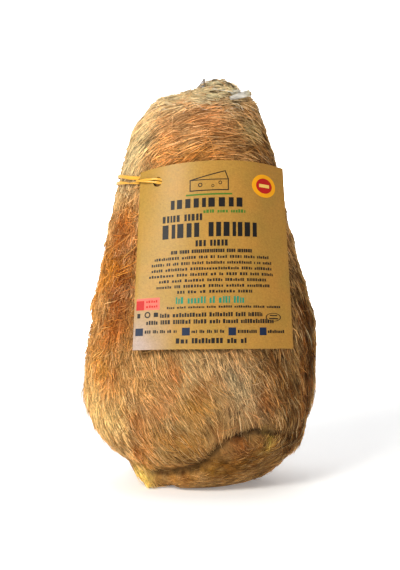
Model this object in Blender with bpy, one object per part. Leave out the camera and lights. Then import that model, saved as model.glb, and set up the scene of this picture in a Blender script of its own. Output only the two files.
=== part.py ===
"""Tulum cheese: cheese packed in a goatskin sack, with a kraft card held by an elastic band.

The sack stands on its flattened lower end. +Z is up, the card faces -Y, and the origin is
in the middle of the flat spot that the sack rests on. Lengths below are in millimetres and
become metres as each mesh is made. Angles go round the sack from the front (-Y) towards +X.
"""

import math

import bmesh
import bpy
from mathutils import Vector

MM = 0.001

# Sack: height, then the middle and half width left to right, the middle and half depth
# front to back of the section at that height
SACK_SECTIONS = (
    (0.0, -3.0, 29.0, 0.0, 29.5),
    (2.5, -1.5, 36.5, 0.5, 37.0),
    (8.0, 1.6, 45.0, 0.5, 45.5),
    (16.0, 2.8, 52.5, 0.2, 51.5),
    (26.0, 1.2, 62.5, 0.0, 57.5),
    (38.0, -0.4, 68.5, 0.0, 61.0),
    (56.0, -0.7, 73.0, 0.2, 62.7),
    (80.0, 0.5, 72.8, 0.2, 61.7),
    (107.0, 1.2, 69.2, 0.2, 58.7),
    (138.0, 0.2, 62.9, 0.5, 54.5),
    (170.0, -0.7, 55.2, 0.7, 50.0),
    (200.0, -0.8, 49.0, 0.5, 45.5),
    (222.0, -0.5, 42.4, 0.2, 39.5),
    (235.0, 0.8, 35.6, 0.0, 32.5),
    (241.0, 2.0, 31.0, -0.3, 27.0),
    (245.5, 3.6, 25.0, -0.5, 21.0),
    (248.5, 7.0, 18.0, -0.3, 15.5),
    (251.0, 10.0, 12.2, 0.0, 11.5),
    (254.2, 10.8, 8.4, 0.0, 8.0),
    (255.8, 10.6, 4.4, 0.0, 4.2),
)
SACK_TOP = Vector((10.5, 0.0, 256.2))
AROUND = 60

# Heights of the rings: from, to, number of steps. Rings in the run at FOLD_RUN follow the fold
RING_RUNS = (
    (0.0, 11.0, 7),
    (11.0, 21.0, 8),
    (21.0, 56.0, 8),
    (56.0, 212.0, 20),
    (212.0, 240.0, 8),
    (240.0, 255.8, 10),
)
FOLD_RUN = (11.0, 21.0)
FOLD_RUN_ENDS = 80.0

# Low swellings and hollows of the packed cheese: angle and height of the middle, reach
# round in degrees, reach up, how far out
SWELLINGS = (
    (-95.0, 60.0, 30.0, 22.0, 1.3),
    (-78.0, 118.0, 24.0, 16.0, -1.0),
    (-100.0, 168.0, 30.0, 18.0, 0.9),
    (88.0, 104.0, 26.0, 14.0, 1.4),
    (80.0, 42.0, 26.0, 9.0, -1.0),
    (10.0, 66.0, 34.0, 18.0, 1.2),
    (150.0, 90.0, 40.0, 30.0, 1.6),
    (200.0, 150.0, 36.0, 26.0, -1.2),
    (-140.0, 205.0, 36.0, 20.0, 1.1),
    (40.0, 226.0, 26.0, 9.0, 1.0),
)

# Fold across the lower front, where the end of the hide is tucked under: angle and height
FOLD_LINE = (
    (-46.0, 14.0),
    (-24.0, 15.0),
    (-2.0, 20.0),
    (6.0, 28.0),
    (15.0, 37.5),
    (33.0, 41.5),
    (62.0, 33.0),
)
FOLD_FADE = 9.0
FOLD_LIP = 1.8
FOLD_DEPTH = 5.0
FLAP_SWELL = 1.6

# Pointed corner of hide beside the resting spot, and the hollow next to it
CORNER_ANGLE = -47.0
CORNER_REACH = 8.0
HOLLOW_ANGLE = -31.0
HOLLOW_DEPTH = 9.0

# Gathers where the hide is drawn together at the top
GATHER_FROM = 226.0
GATHER_FULL = 247.0
GATHER_DEPTH = 0.085
GATHER_WAVES = ((7, 0.6, 0.45), (11, 2.1, 0.35), (17, 4.0, 0.20))

# Kraft card: CARD_MIDDLE is the angle of its middle line, and CARD_LEAVES the angles on each
# side, at its top and bottom edges, past which it stands straight off the sack
CARD_WIDTH = 100.0
CARD_THICK = 0.5
CARD_GAP = 2.4
CARD_TOP = 198.7
CARD_BOTTOM = 87.4
CARD_BOW_TOP = 4.1
CARD_BOW_BOTTOM = 0.9
CARD_TILT = 2.3
CARD_MIDDLE_TOP = 13.2
CARD_MIDDLE_BOTTOM = 7.4
CARD_LEAVES_LEFT = (180.0, 8.0)
CARD_LEAVES_RIGHT = (47.0, 38.0)
CARD_COLUMNS = 26
CARD_ROWS = 12
HOLE_DIAMETER = 6.0
HOLE_FROM_LEFT = 12.6
HOLE_FROM_TOP = 9.0

# Elastic band, one loop wound twice round the sack
BAND_WIDTH = 2.6
BAND_WIDTH_IN_HOLE = 1.3
BAND_THICK = 0.9
BAND_TOUCH = 0.45
BAND_TILT_LEFT = 0.10
BAND_TILT_BACK = 0.06
BAND_SPREAD_LEFT = 2.3
BAND_SPREAD_BACK = 2.1
BAND_SPREAD_HOLE = 0.75
BAND_LIFT_IN_HOLE = 0.45
BAND_STEPS = 84
BAND_SHAPE = ((-1.0, 0.0), (-0.7, 1.0), (0.7, 1.0), (1.0, 0.0), (0.7, -1.0), (-0.7, -1.0))

# Cut end of a strip of white hide at the gathered top: its middle line, and the way it faces
STRIP_WIDTH = 6.2
STRIP_THICK = 1.9
STRIP_ROUTE = ((17.5, -27.3, 240.0), (25.0, -23.9, 240.5), (32.2, -18.2, 241.6))
STRIP_FACES = Vector((0.35, -0.78, 0.52))
STRIP_STEPS = 8
STRIP_CUP = 0.5
STRIP_ROOT_SHARE = 0.72
STRIP_SHAPE = (
    (-1.0, -0.5),
    (-1.0, 0.3),
    (-0.5, 0.5),
    (0.5, 0.5),
    (1.0, 0.3),
    (1.0, -0.5),
    (0.5, -0.4),
    (-0.5, -0.4),
)


def smooth_value(knots, at, column):
    """Value of one column of a table at a place between its rows, with no overshoot."""
    last = len(knots) - 1
    at = min(max(at, knots[0][0]), knots[last][0])
    i = 0
    while i < last - 1 and knots[i + 1][0] < at:
        i += 1

    def slope(j):
        return (knots[j + 1][column] - knots[j][column]) / (knots[j + 1][0] - knots[j][0])

    def tangent(j):
        if j == 0:
            return slope(0)
        if j == last:
            return slope(last - 1)
        before, after = slope(j - 1), slope(j)
        if before * after <= 0.0:
            return 0.0
        return 2.0 * before * after / (before + after)

    span = knots[i + 1][0] - knots[i][0]
    t = (at - knots[i][0]) / span
    start, end = knots[i][column], knots[i + 1][column]
    return (
        start * (1 + 2 * t) * (1 - t) ** 2
        + end * t * t * (3 - 2 * t)
        + span * tangent(i) * t * (1 - t) ** 2
        - span * tangent(i + 1) * t * t * (1 - t)
    )


def ease(value, low, high):
    """Smooth step from 0 at low to 1 at high."""
    t = min(max((value - low) / (high - low), 0.0), 1.0)
    return t * t * (3.0 - 2.0 * t)


def bell(value, middle, reach):
    """Bell curve of height 1."""
    return math.exp(-(((value - middle) / reach) ** 2))


def turn_between(angle, middle):
    """Shortest turn in degrees from one angle to another."""
    return (angle - middle + 180.0) % 360.0 - 180.0


def section(height):
    """Middle of the sack's section at a height, and its half width and half depth."""
    values = [smooth_value(SACK_SECTIONS, height, column) for column in range(1, 5)]
    return Vector((values[0], values[2], height)), values[1], values[3]


def fold_relief(angle, height):
    """How far the lip, groove and flap of the lower fold stand out of the plain sack."""
    turn = turn_between(angle, 0.0)
    strength = ease(turn, FOLD_LINE[0][0], FOLD_LINE[0][0] + FOLD_FADE)
    strength *= 1.0 - ease(turn, FOLD_LINE[-1][0] - 2 * FOLD_FADE, FOLD_LINE[-1][0])
    above = height - smooth_value(FOLD_LINE, turn, 1)
    lip = FOLD_LIP * ease(above, -2.0, 1.5) * bell(max(above, 0.0), 0.0, 10.0)
    groove = FOLD_DEPTH * bell(above, -2.6, 3.0)
    flap = FLAP_SWELL * bell(above, -12.0, 6.0)
    return strength * (lip - groove + flap)


def corner_relief(angle, height):
    """The pointed corner of hide at the foot, and the hollow beside it."""
    corner = CORNER_REACH * bell(turn_between(angle, CORNER_ANGLE), 0.0, 8.0) * bell(height, 1.5, 5.0)
    hollow = HOLLOW_DEPTH * bell(turn_between(angle, HOLLOW_ANGLE), 0.0, 7.0) * bell(height, 0.0, 4.5)
    return corner - hollow


def sack_point(angle, height, lift=0.0, plain=False):
    """Point on the sack, or lifted off it; plain leaves out relief smaller than the section."""
    middle, half_width, half_depth = section(height)
    turn = math.radians(angle)
    out = Vector((half_width * math.sin(turn), -half_depth * math.cos(turn), 0.0))
    relief = lift
    scale = 1.0
    if not plain:
        relief += fold_relief(angle, height) + corner_relief(angle, height)
        for place, level, reach_round, reach_up, swell in SWELLINGS:
            near = bell(turn_between(angle, place), 0.0, reach_round) * bell(height, level, reach_up)
            relief += swell * near
        wave = sum(share * math.cos(count * turn + phase) for count, phase, share in GATHER_WAVES)
        scale += GATHER_DEPTH * wave * ease(height, GATHER_FROM, GATHER_FULL)
    return middle + out * (scale + relief / out.length)


def section_walk(height, start, distance, leaves, gap):
    """Point at a distance along the section from a starting angle, and straight on past leaves."""
    turn = start
    left = abs(distance)
    way = math.copysign(1.0, distance)
    here = sack_point(turn, height, gap, plain=True)
    heading = Vector((way, 0.0, 0.0))
    while left > 0.0 and turn * way < leaves:
        turn += way * 0.5
        ahead = sack_point(turn, height, gap, plain=True)
        step = (ahead - here).length
        heading = (ahead - here).normalized()
        here = here + heading * min(step, left)
        left -= step
    return here + heading * max(left, 0.0)


def card_point(across, down):
    """Middle of the card's thickness, right of its centre line and a share of the way down."""
    share = across / (CARD_WIDTH / 2)
    top = CARD_TOP - CARD_BOW_TOP * share * share + CARD_TILT * share
    bottom = CARD_BOTTOM - CARD_BOW_BOTTOM * share * share
    leaves = CARD_LEAVES_RIGHT if across > 0 else CARD_LEAVES_LEFT
    upper = section_walk(top, CARD_MIDDLE_TOP, across, leaves[0], CARD_GAP)
    lower = section_walk(bottom, CARD_MIDDLE_BOTTOM, across, leaves[1], CARD_GAP)
    return upper.lerp(lower, down)


def card_normal(across, down):
    """Outward direction of the card at one of its points."""
    step = 0.02
    along = card_point(across + step * 20, down) - card_point(across - step * 20, down)
    downward = card_point(across, min(down + step, 1.0)) - card_point(across, max(down - step, 0.0))
    return downward.cross(along).normalized()


def finish_material(name, colour, roughness):
    """Plain finish with one colour."""
    material = bpy.data.materials.new(name)
    material.use_nodes = True
    shader = material.node_tree.nodes["Principled BSDF"]
    shader.inputs["Base Color"].default_value = (*colour, 1.0)
    shader.inputs["Roughness"].default_value = roughness
    shader.inputs["Metallic"].default_value = 0.0
    material.diffuse_color = (*colour, 1.0)
    return material


def add_object(name, points, faces, material, sharp=50.0):
    """Object with one closed mesh from points in millimetres."""
    mesh = bpy.data.meshes.new(name)
    mesh.from_pydata([point * MM for point in points], [], faces)
    mesh.validate()
    shaped = bmesh.new()
    shaped.from_mesh(mesh)
    bmesh.ops.recalc_face_normals(shaped, faces=shaped.faces)
    bmesh.ops.triangulate(shaped, faces=shaped.faces)
    shaped.to_mesh(mesh)
    shaped.free()
    mesh.shade_smooth()
    mesh.set_sharp_from_angle(angle=math.radians(sharp))
    mesh.materials.append(material)
    made = bpy.data.objects.new(name, mesh)
    bpy.context.scene.collection.objects.link(made)
    return made


def ring_faces(rings, around, closed=False):
    """Quads between rings of points that follow each other."""
    faces = []
    for ring in range(rings if closed else rings - 1):
        low, high = ring * around, (ring + 1) % rings * around
        for i in range(around):
            j = (i + 1) % around
            faces.append((low + i, low + j, high + j, high + i))
    return faces


def ring_height(angle, level):
    """Height of a ring at an angle: near the foot the rings rise and fall with the fold."""
    low, high = FOLD_RUN
    shift = smooth_value(FOLD_LINE, turn_between(angle, 0.0), 1) - (low + high) / 2
    turn = abs(turn_between(angle, 0.0))
    shift *= 1.0 - ease(turn, FOLD_LINE[-1][0], 150.0)
    return level + shift * ease(level, 0.0, low) * (1.0 - ease(level, high, FOLD_RUN_ENDS))


def make_sack():
    """The hide with the cheese in it: rings of points up to the gathered top."""
    heights = [RING_RUNS[0][0]]
    for low, high, steps in RING_RUNS:
        heights += [low + (high - low) * (i + 1) / steps for i in range(steps)]
    angles = [360.0 * i / AROUND for i in range(AROUND)]
    points = [sack_point(angle, ring_height(angle, height)) for height in heights for angle in angles]
    faces = ring_faces(len(heights), AROUND)
    base, top = len(points), len(points) + 1
    middle, _, _ = section(0.0)
    points += [middle, SACK_TOP]
    last = (len(heights) - 1) * AROUND
    for i in range(AROUND):
        j = (i + 1) % AROUND
        faces.append((base, j, i))
        faces.append((top, last + i, last + j))
    return add_object("sack", points, faces, finish_material("hide", (0.45, 0.22, 0.08), 0.85), sharp=60.0)


def make_card():
    """Thin curved card with a punched hole for the band."""
    points = []
    for side in (1.0, -1.0):
        for row in range(CARD_ROWS + 1):
            for column in range(CARD_COLUMNS + 1):
                across = CARD_WIDTH * (column / CARD_COLUMNS - 0.5)
                down = row / CARD_ROWS
                points.append(card_point(across, down) + card_normal(across, down) * side * CARD_THICK / 2)
    wide = CARD_COLUMNS + 1
    face_points = wide * (CARD_ROWS + 1)
    faces = []
    for row in range(CARD_ROWS):
        for column in range(CARD_COLUMNS):
            a = row * wide + column
            front = (a, a + wide, a + wide + 1, a + 1)
            faces.append(front)
            faces.append(tuple(i + face_points for i in reversed(front)))
    rim = list(range(wide))
    rim += [row * wide + CARD_COLUMNS for row in range(1, CARD_ROWS + 1)]
    rim += [CARD_ROWS * wide + column for column in range(CARD_COLUMNS - 1, -1, -1)]
    rim += [row * wide for row in range(CARD_ROWS - 1, 0, -1)]
    for i, here in enumerate(rim):
        ahead = rim[(i + 1) % len(rim)]
        faces.append((here, ahead, ahead + face_points, here + face_points))
    card = add_object("card", points, faces, finish_material("kraft", (0.58, 0.38, 0.14), 0.8), sharp=40.0)
    punch_hole(card)
    return card


def hole_place():
    """Middle of the punched hole and the card's outward direction there."""
    across = HOLE_FROM_LEFT - CARD_WIDTH / 2
    length = (card_point(across, 1.0) - card_point(across, 0.0)).length
    down = HOLE_FROM_TOP / length
    return card_point(across, down), card_normal(across, down)


def punch_hole(card):
    """Cut the round hole through the card."""
    middle, outward = hole_place()
    bpy.ops.mesh.primitive_cylinder_add(
        vertices=20, radius=HOLE_DIAMETER / 2 * MM, depth=5.0 * MM, location=middle * MM
    )
    cutter = bpy.context.object
    cutter.name = "hole_cutter"
    cutter.rotation_euler = outward.to_track_quat("Z", "Y").to_euler()
    cutter.hide_render = True
    cutter.display_type = "WIRE"
    cut = card.modifiers.new("hole", "BOOLEAN")
    cut.operation = "DIFFERENCE"
    cut.solver = "EXACT"
    cut.object = cutter


def band_centre(turn, wind, hole, hole_angle):
    """Middle of the band at a turn from the hole, on its first (1) or second (-1) winding."""
    angle = hole_angle + turn
    start_height = hole.z + BAND_LIFT_IN_HOLE
    plain_height = start_height
    for _ in range(3):
        away = sack_point(angle, plain_height, plain=True) - hole
        plain_height = start_height - BAND_TILT_LEFT * away.x + BAND_TILT_BACK * away.y
    round_length = turn * math.radians(1.0) * math.hypot(*sack_point(hole_angle, hole.z, plain=True).xy)
    crossing = -HOLE_FROM_LEFT
    past = round_length - crossing
    if past < 0.0:
        spread = BAND_SPREAD_LEFT * ease(-past, -30.0, 30.0) * 2.0 - BAND_SPREAD_LEFT
        side = wind
    else:
        spread = BAND_SPREAD_HOLE * ease(past, -6.0, 6.0) * 2.0 - BAND_SPREAD_HOLE
        spread += (BAND_SPREAD_BACK - BAND_SPREAD_HOLE) * ease(round_length, 4.0, 40.0)
        side = -wind
    height = plain_height + side * spread
    touch = BAND_TOUCH + BAND_THICK / 2
    over = CARD_GAP + CARD_THICK / 2 + BAND_TOUCH + BAND_THICK / 2
    lift = touch + (over - touch) * ease(round_length, -30.0, -12.0) * (1.0 - ease(round_length, -2.9, 3.3))
    stacked = ease(round_length, -36.0, -26.0) * (1.0 - ease(round_length, -7.5, -2.9))
    if wind > 0:
        lift += (BAND_THICK + BAND_TOUCH) * stacked
    narrow = bell(round_length, -0.5, 9.0)
    width = BAND_WIDTH + (BAND_WIDTH_IN_HOLE - BAND_WIDTH) * narrow
    return sack_point(angle, height, lift), width


def make_band():
    """Flat elastic loop, wound twice round the sack and through the hole of the card."""
    hole, _ = hole_place()
    middle, half_width, half_depth = section(hole.z)
    hole_angle = math.degrees(math.atan2((hole.x - middle.x) / half_width, -(hole.y - middle.y) / half_depth))
    turns = band_turns()
    route = []
    for wind in (1, -1):
        route += [band_centre(turn, wind, hole, hole_angle) for turn in turns]
    points = []
    for i, (here, width) in enumerate(route):
        along = (route[(i + 1) % len(route)][0] - route[i - 1][0]).normalized()
        middle, _, _ = section(here.z)
        outward = here - middle
        outward.z = 0.2 * outward.length
        up = outward.cross(along).normalized()
        outward = along.cross(up).normalized()
        for across, out in BAND_SHAPE:
            points.append(here + up * across * width / 2 + outward * out * BAND_THICK / 2)
    faces = ring_faces(len(route), len(BAND_SHAPE), closed=True)
    return add_object("band", points, faces, finish_material("rubber", (0.75, 0.50, 0.08), 0.55), sharp=50.0)


def band_turns():
    """Turns from the hole in degrees for one winding, closer together near the hole."""
    crossing = -math.degrees(HOLE_FROM_LEFT / math.hypot(*sack_point(-40.0, CARD_TOP, plain=True).xy))
    turns = []
    for i in range(BAND_STEPS):
        share = i / BAND_STEPS
        turns.append(crossing + 360.0 * (share - 0.8 * math.sin(math.tau * share) / math.tau))
    return turns


def make_strip():
    """Short strip of hide that comes out of the gathers, with a square cut end."""
    knots = [(i / (len(STRIP_ROUTE) - 1), *row) for i, row in enumerate(STRIP_ROUTE)]
    shares = [i / STRIP_STEPS for i in range(STRIP_STEPS + 1)]
    route = [Vector([smooth_value(knots, share, column) for column in (1, 2, 3)]) for share in shares]
    points = []
    for i, here in enumerate(route):
        along = route[min(i + 1, STRIP_STEPS)] - route[max(i - 1, 0)]
        up = STRIP_FACES.cross(along).normalized()
        outward = along.cross(up).normalized()
        share = shares[i]
        width = STRIP_WIDTH * (STRIP_ROOT_SHARE + (1.0 - STRIP_ROOT_SHARE) * ease(share, 0.0, 0.6))
        cup = STRIP_CUP * ease(share, 0.2, 1.0)
        for across, out in STRIP_SHAPE:
            lift = out * STRIP_THICK + cup * across * across
            points.append(here + up * across * width / 2 + outward * lift)
    corners = len(STRIP_SHAPE)
    faces = ring_faces(len(route), corners)
    faces.append(tuple(range(corners - 1, -1, -1)))
    faces.append(tuple(range(STRIP_STEPS * corners, (STRIP_STEPS + 1) * corners)))
    pale = finish_material("white_hide", (0.72, 0.70, 0.58), 0.7)
    return add_object("neck_strip", points, faces, pale, sharp=40.0)


def main():
    """Clear the scene and build the four pieces."""
    for old in list(bpy.data.objects):
        bpy.data.objects.remove(old, do_unlink=True)
    make_sack()
    make_card()
    make_band()
    make_strip()


main()
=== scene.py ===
"""Looks of a tulum cheese: a goatskin sack of cheese with its hair, kraft card, elastic and neck strip.

Sizes in the classes are millimetres and angles are degrees. Meshes are made in metres, in the
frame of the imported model: +Z is up, the card faces -Y, and the sack stands on Z = 0.
"""

from __future__ import annotations

import logging
import math
import random
import sys
from dataclasses import dataclass, field
from enum import Enum

import bmesh
import bpy
import numpy as np
from mathutils import Matrix, Vector, noise
from mathutils.bvhtree import BVHTree


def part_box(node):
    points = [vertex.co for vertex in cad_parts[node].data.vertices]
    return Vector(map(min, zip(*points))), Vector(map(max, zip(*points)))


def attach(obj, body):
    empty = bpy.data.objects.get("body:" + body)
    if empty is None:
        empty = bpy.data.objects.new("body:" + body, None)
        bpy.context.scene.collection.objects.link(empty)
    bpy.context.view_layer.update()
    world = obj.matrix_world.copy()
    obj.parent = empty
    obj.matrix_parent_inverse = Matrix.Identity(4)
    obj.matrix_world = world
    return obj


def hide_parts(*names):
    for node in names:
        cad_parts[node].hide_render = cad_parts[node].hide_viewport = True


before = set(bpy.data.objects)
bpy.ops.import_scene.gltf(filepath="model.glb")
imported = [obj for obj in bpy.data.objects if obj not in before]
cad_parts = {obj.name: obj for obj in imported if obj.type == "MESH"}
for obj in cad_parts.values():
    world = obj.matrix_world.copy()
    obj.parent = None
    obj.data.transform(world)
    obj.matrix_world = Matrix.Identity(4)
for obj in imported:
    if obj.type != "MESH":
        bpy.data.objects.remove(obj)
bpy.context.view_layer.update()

MM = 0.001
BODY = "root"
LOG = logging.getLogger("tulum")


class Tone(Enum):
    """Colours of hair, hide, card and print, as red, green and blue out of 255."""

    CREAM = (250, 226, 176)
    PALE_STRAW = (236, 218, 166)
    STRAW = (230, 200, 142)
    PEACH = (246, 190, 128)
    GOLD = (250, 178, 76)
    HONEY = (236, 156, 52)
    AMBER = (244, 154, 30)
    ORANGE = (255, 174, 80)
    RUST = (208, 110, 24)
    DEEP_RUST = (164, 76, 12)
    PINK_TAN = (242, 172, 112)
    TAN = (222, 172, 106)
    DUSTY = (216, 180, 130)
    GREY_GREEN = (214, 190, 130)
    BROWN = (160, 104, 46)
    UMBER = (96, 58, 16)
    OLIVE = (160, 102, 18)
    MUSTARD = (190, 136, 46)
    YELLOW = (255, 222, 96)
    WHITE = (236, 230, 208)
    LILAC = (226, 226, 234)
    BUTTER = (255, 220, 146)
    BLOND = (232, 190, 96)
    GREY_CREAM = (222, 206, 162)
    # Painted shade in the gaps between the crown's tufts.
    GAP = (84, 58, 22)
    # Painted shade: the darkest brown, laid where the coat is in shade.
    BARK = (62, 38, 12)
    SLATE = (74, 72, 54)
    KRAFT = (160, 124, 50)
    KRAFT_WARM = (166, 112, 44)
    # Painted reflection: the pale glare on the card's lower left corner.
    KRAFT_RUBBED = (166, 148, 142)
    INK = (16, 12, 9)
    LEAF = (60, 104, 30)
    TEAL = (24, 120, 92)
    NAVY = (14, 30, 56)
    SIGNAL = (176, 20, 14)
    PINK = (214, 100, 84)
    SUNNY = (232, 156, 10)
    ELASTIC = (222, 164, 52)

    def linear(self) -> tuple[float, float, float]:
        """Colour as linear light, from 0 to 1."""
        shares = [value / 255 for value in self.value]
        return tuple(s / 12.92 if s <= 0.04045 else ((s + 0.055) / 1.055) ** 2.4 for s in shares)


class Side(Enum):
    """Which side of the sack a place is seen from."""

    FRONT = -1.0
    BACK = 1.0


@dataclass(frozen=True)
class Place:
    """Soft-edged place on the hide: its middle as seen from one side, and its reach."""

    across: float
    height: float
    wide: float
    tall: float


@dataclass(frozen=True)
class Spot(Place):
    """Place on the front where something is done, and how much of it."""

    amount: float


@dataclass(frozen=True)
class Patch(Place):
    """Patch of hair colour."""

    tone: Tone
    strength: float
    side: Side = Side.FRONT


@dataclass(frozen=True)
class Stroke(Place):
    """Way that the hair lies round a place: degrees above the horizontal, counted from the right."""

    way: float
    side: Side = Side.FRONT


@dataclass(frozen=True)
class Mottle:
    """Small flecks of a colour all over the hide, stronger at one side than at the other."""

    size: float
    seed: float
    tone: Tone
    at_left: float
    at_right: float


class Tree:
    """Adds nodes to a shader or geometry tree and joins their sockets."""

    def __init__(self, tree: bpy.types.NodeTree) -> None:
        """Keep the tree."""
        self.tree = tree

    def put(self, socket: bpy.types.NodeSocket, value: object) -> None:
        """Give a socket a value, or join it to another socket.

        Args:
            socket: The input to fill.
            value: An output socket, or a plain value.
        """
        if isinstance(value, bpy.types.NodeSocket):
            self.tree.links.new(value, socket)
        else:
            socket.default_value = value

    def add(self, kind: str, settings: dict | None = None, inputs: dict | None = None) -> bpy.types.Node:
        """Add a node.

        Args:
            kind: The node's type.
            settings: Values of its own properties.
            inputs: Values or sockets for its inputs, by name or place.

        Returns:
            The new node.
        """
        node = self.tree.nodes.new(kind)
        for name, value in (settings or {}).items():
            setattr(node, name, value)
        for key, value in (inputs or {}).items():
            socket = node.inputs[key]
            if isinstance(key, str):
                socket = next(s for s in node.inputs if s.name == key and s.enabled)
            self.put(socket, value)
        return node

    def out(self, node: bpy.types.Node) -> bpy.types.NodeSocket:
        """The first output of a node that is in use."""
        return next(socket for socket in node.outputs if socket.enabled)

    def math(
        self, operation: str, first: object, second: object = 0.0, clamp: bool = False
    ) -> bpy.types.NodeSocket:
        """Work out one number from two."""
        node = self.add("ShaderNodeMath", {"operation": operation, "use_clamp": clamp}, {0: first, 1: second})
        return node.outputs[0]

    def times(self, *factors: object) -> bpy.types.NodeSocket:
        """Product of numbers, worked out from the first to the last.

        Args:
            factors: Two or more values or sockets.

        Returns:
            The product's socket.
        """
        product = factors[0]
        for factor in factors[1:]:
            product = self.math("MULTIPLY", product, factor)
        return product

    def plus(self, first: object, second: object) -> bpy.types.NodeSocket:
        """Sum of two values or sockets."""
        return self.math("ADD", first, second)

    def split(self, vector: object) -> bpy.types.NodeOutputs:
        """The X, Y and Z of a vector."""
        return self.add("ShaderNodeSeparateXYZ", None, {0: vector}).outputs

    def joined(self, x: object, y: object, z: object = 0.0) -> bpy.types.NodeSocket:
        """Vector from three values or sockets."""
        return self.add("ShaderNodeCombineXYZ", None, {0: x, 1: y, 2: z}).outputs[0]

    def vector(self, operation: str, first: object, second: object = (0.0, 0.0, 0.0)) -> bpy.types.NodeSocket:
        """Work out one vector from two."""
        return self.add("ShaderNodeVectorMath", {"operation": operation}, {0: first, 1: second}).outputs[0]

    def scaled(self, vector: object, factor: object) -> bpy.types.NodeSocket:
        """Vector times a number."""
        return self.add("ShaderNodeVectorMath", {"operation": "SCALE"}, {0: vector, 3: factor}).outputs[0]

    def spread(
        self, value: object, low: float, high: float, to_low: float, to_high: float
    ) -> bpy.types.NodeSocket:
        """Map a range of numbers to another."""
        inputs = {0: value, 1: low, 2: high, 3: to_low, 4: to_high}
        return self.add("ShaderNodeMapRange", {"clamp": True}, inputs).outputs[0]


class ShaderTree(Tree):
    """A material's tree, with the parts that every finish uses."""

    NOISE_LOW = 0.3
    NOISE_HIGH = 0.7

    def __init__(self, name: str) -> None:
        """Make an empty material with a shader.

        Args:
            name: The material's name.
        """
        self.material = bpy.data.materials.new(name)
        self.material.use_nodes = True
        super().__init__(self.material.node_tree)
        self.shader = self.tree.nodes["Principled BSDF"]

    def place(self) -> bpy.types.NodeSocket:
        """Place on the object, in metres."""
        return self.add("ShaderNodeTexCoord").outputs["Object"]

    def noise(
        self, size: float, detail: float = 3.0, stretch: tuple = (1.0, 1.0, 1.0), rough: float = 0.55
    ) -> bpy.types.NodeSocket:
        """Noise on the object's own coordinates.

        Args:
            size: Size of its cells in millimetres.
            detail: Number of finer layers.
            stretch: How many times finer it is along each axis.
            rough: Strength of the finer layers.

        Returns:
            The noise's socket, from 0 to 1.
        """
        turned = self.add("ShaderNodeMapping", None, {"Vector": self.place(), "Scale": stretch})
        inputs = {
            "Vector": turned.outputs[0],
            "Scale": 1.0 / (size * MM),
            "Detail": detail,
            "Roughness": rough,
        }
        return self.add("ShaderNodeTexNoise", None, inputs).outputs[0]

    def vary(self, value: object, low: float, high: float) -> bpy.types.NodeSocket:
        """Number that goes from low to high over the usual range of a noise."""
        return self.spread(value, self.NOISE_LOW, self.NOISE_HIGH, low, high)

    def attribute(self, name: str, output: str) -> bpy.types.NodeSocket:
        """Value that the mesh holds."""
        return self.add("ShaderNodeAttribute", {"attribute_name": name}).outputs[output]

    def mix(self, factor: object, first: object, second: object) -> bpy.types.NodeSocket:
        """Mix two colours.

        Args:
            factor: How much of the second, from 0 to 1.
            first: A colour or socket.
            second: A colour or socket.

        Returns:
            The mixed colour's socket.
        """
        colours = [(*c, 1.0) if isinstance(c, tuple) and len(c) == 3 else c for c in (first, second)]
        inputs = {0: factor, 6: colours[0], 7: colours[1]}
        return self.add("ShaderNodeMix", {"data_type": "RGBA"}, inputs).outputs[2]

    def bump(self, height: object, depth: float, strength: float = 1.0) -> None:
        """Raise the surface by a height from 0 to 1."""
        inputs = {"Strength": strength, "Distance": depth * MM, "Height": height}
        self.put(self.shader.inputs["Normal"], self.add("ShaderNodeBump", None, inputs).outputs[0])

    def set(self, **values: object) -> None:
        """Fill the shader's inputs."""
        for name, value in values.items():
            self.put(self.shader.inputs[name.replace("_", " ")], value)


@dataclass(frozen=True)
class HairFinish:
    """Goat hair: the coat's colour where it grows, paler or deeper and lighter or darker by the strand."""

    name: str
    dark: float = 0.70
    light: float = 1.20
    root: float = 0.55
    pale: Tone = Tone.CREAM
    pale_share: float = 0.3
    deep: Tone = Tone.RUST
    deep_share: float = 0.2

    # Times the tint, this leaves a fraction that serves as a second random number.
    REDRAW = 37.7

    def make(self) -> bpy.types.Material:
        """Build the material.

        Returns:
            The material.
        """
        tree = ShaderTree(self.name)
        tint = tree.attribute("tint", "Fac")
        along = tree.attribute("along", "Fac")
        coat = tree.attribute("coat", "Color")
        streak = tree.noise(2.2, detail=2.0)
        second = tree.math("FRACT", tree.times(tint, self.REDRAW))
        mixed = tree.mix(tree.spread(tint, 0.55, 1.0, 0.0, self.pale_share), coat, self.pale.linear())
        mixed = tree.mix(tree.spread(tint, 0.45, 0.0, 0.0, self.deep_share), mixed, self.deep.linear())
        value = tree.spread(second, 0.0, 1.0, self.dark, self.light)
        value = tree.times(value, tree.vary(streak, 0.82, 1.14))
        value = tree.times(value, tree.spread(along, 0.0, 0.5, self.root, 1.0))
        tree.set(Base_Color=tree.scaled(mixed, value))
        tree.set(Roughness=tree.vary(streak, 0.50, 0.66), IOR=1.45)
        tree.set(Specular_IOR_Level=0.12)
        tree.bump(tree.noise(0.5, detail=1.0), 0.02, 0.4)
        return tree.material


@dataclass(frozen=True)
class HideFinish:
    """The hide under the hair: the coat's colour, darkened as painted shade under the hair, with short
    under-hair as fine streaks.
    """

    name: str = "hide_skin"
    depth: float = 0.5

    def make(self) -> bpy.types.Material:
        """Build the material.

        Returns:
            The material.
        """
        tree = ShaderTree(self.name)
        coat = tree.attribute("coat", "Color")
        streak = tree.noise(0.9, detail=4.0, stretch=(1.0, 1.0, 0.35), rough=0.7)
        mottle = tree.noise(9.0, detail=3.0)
        value = tree.times(tree.vary(streak, 0.55, 1.25), tree.vary(mottle, 0.8, 1.15))
        # Painted shade: the coat's colour times depth, darker where it lies under the hair.
        tree.set(Base_Color=tree.scaled(coat, tree.times(value, self.depth)))
        tree.set(Roughness=tree.vary(mottle, 0.6, 0.8))
        tree.set(Specular_IOR_Level=0.08)
        tree.bump(streak, 0.35)
        return tree.material


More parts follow.
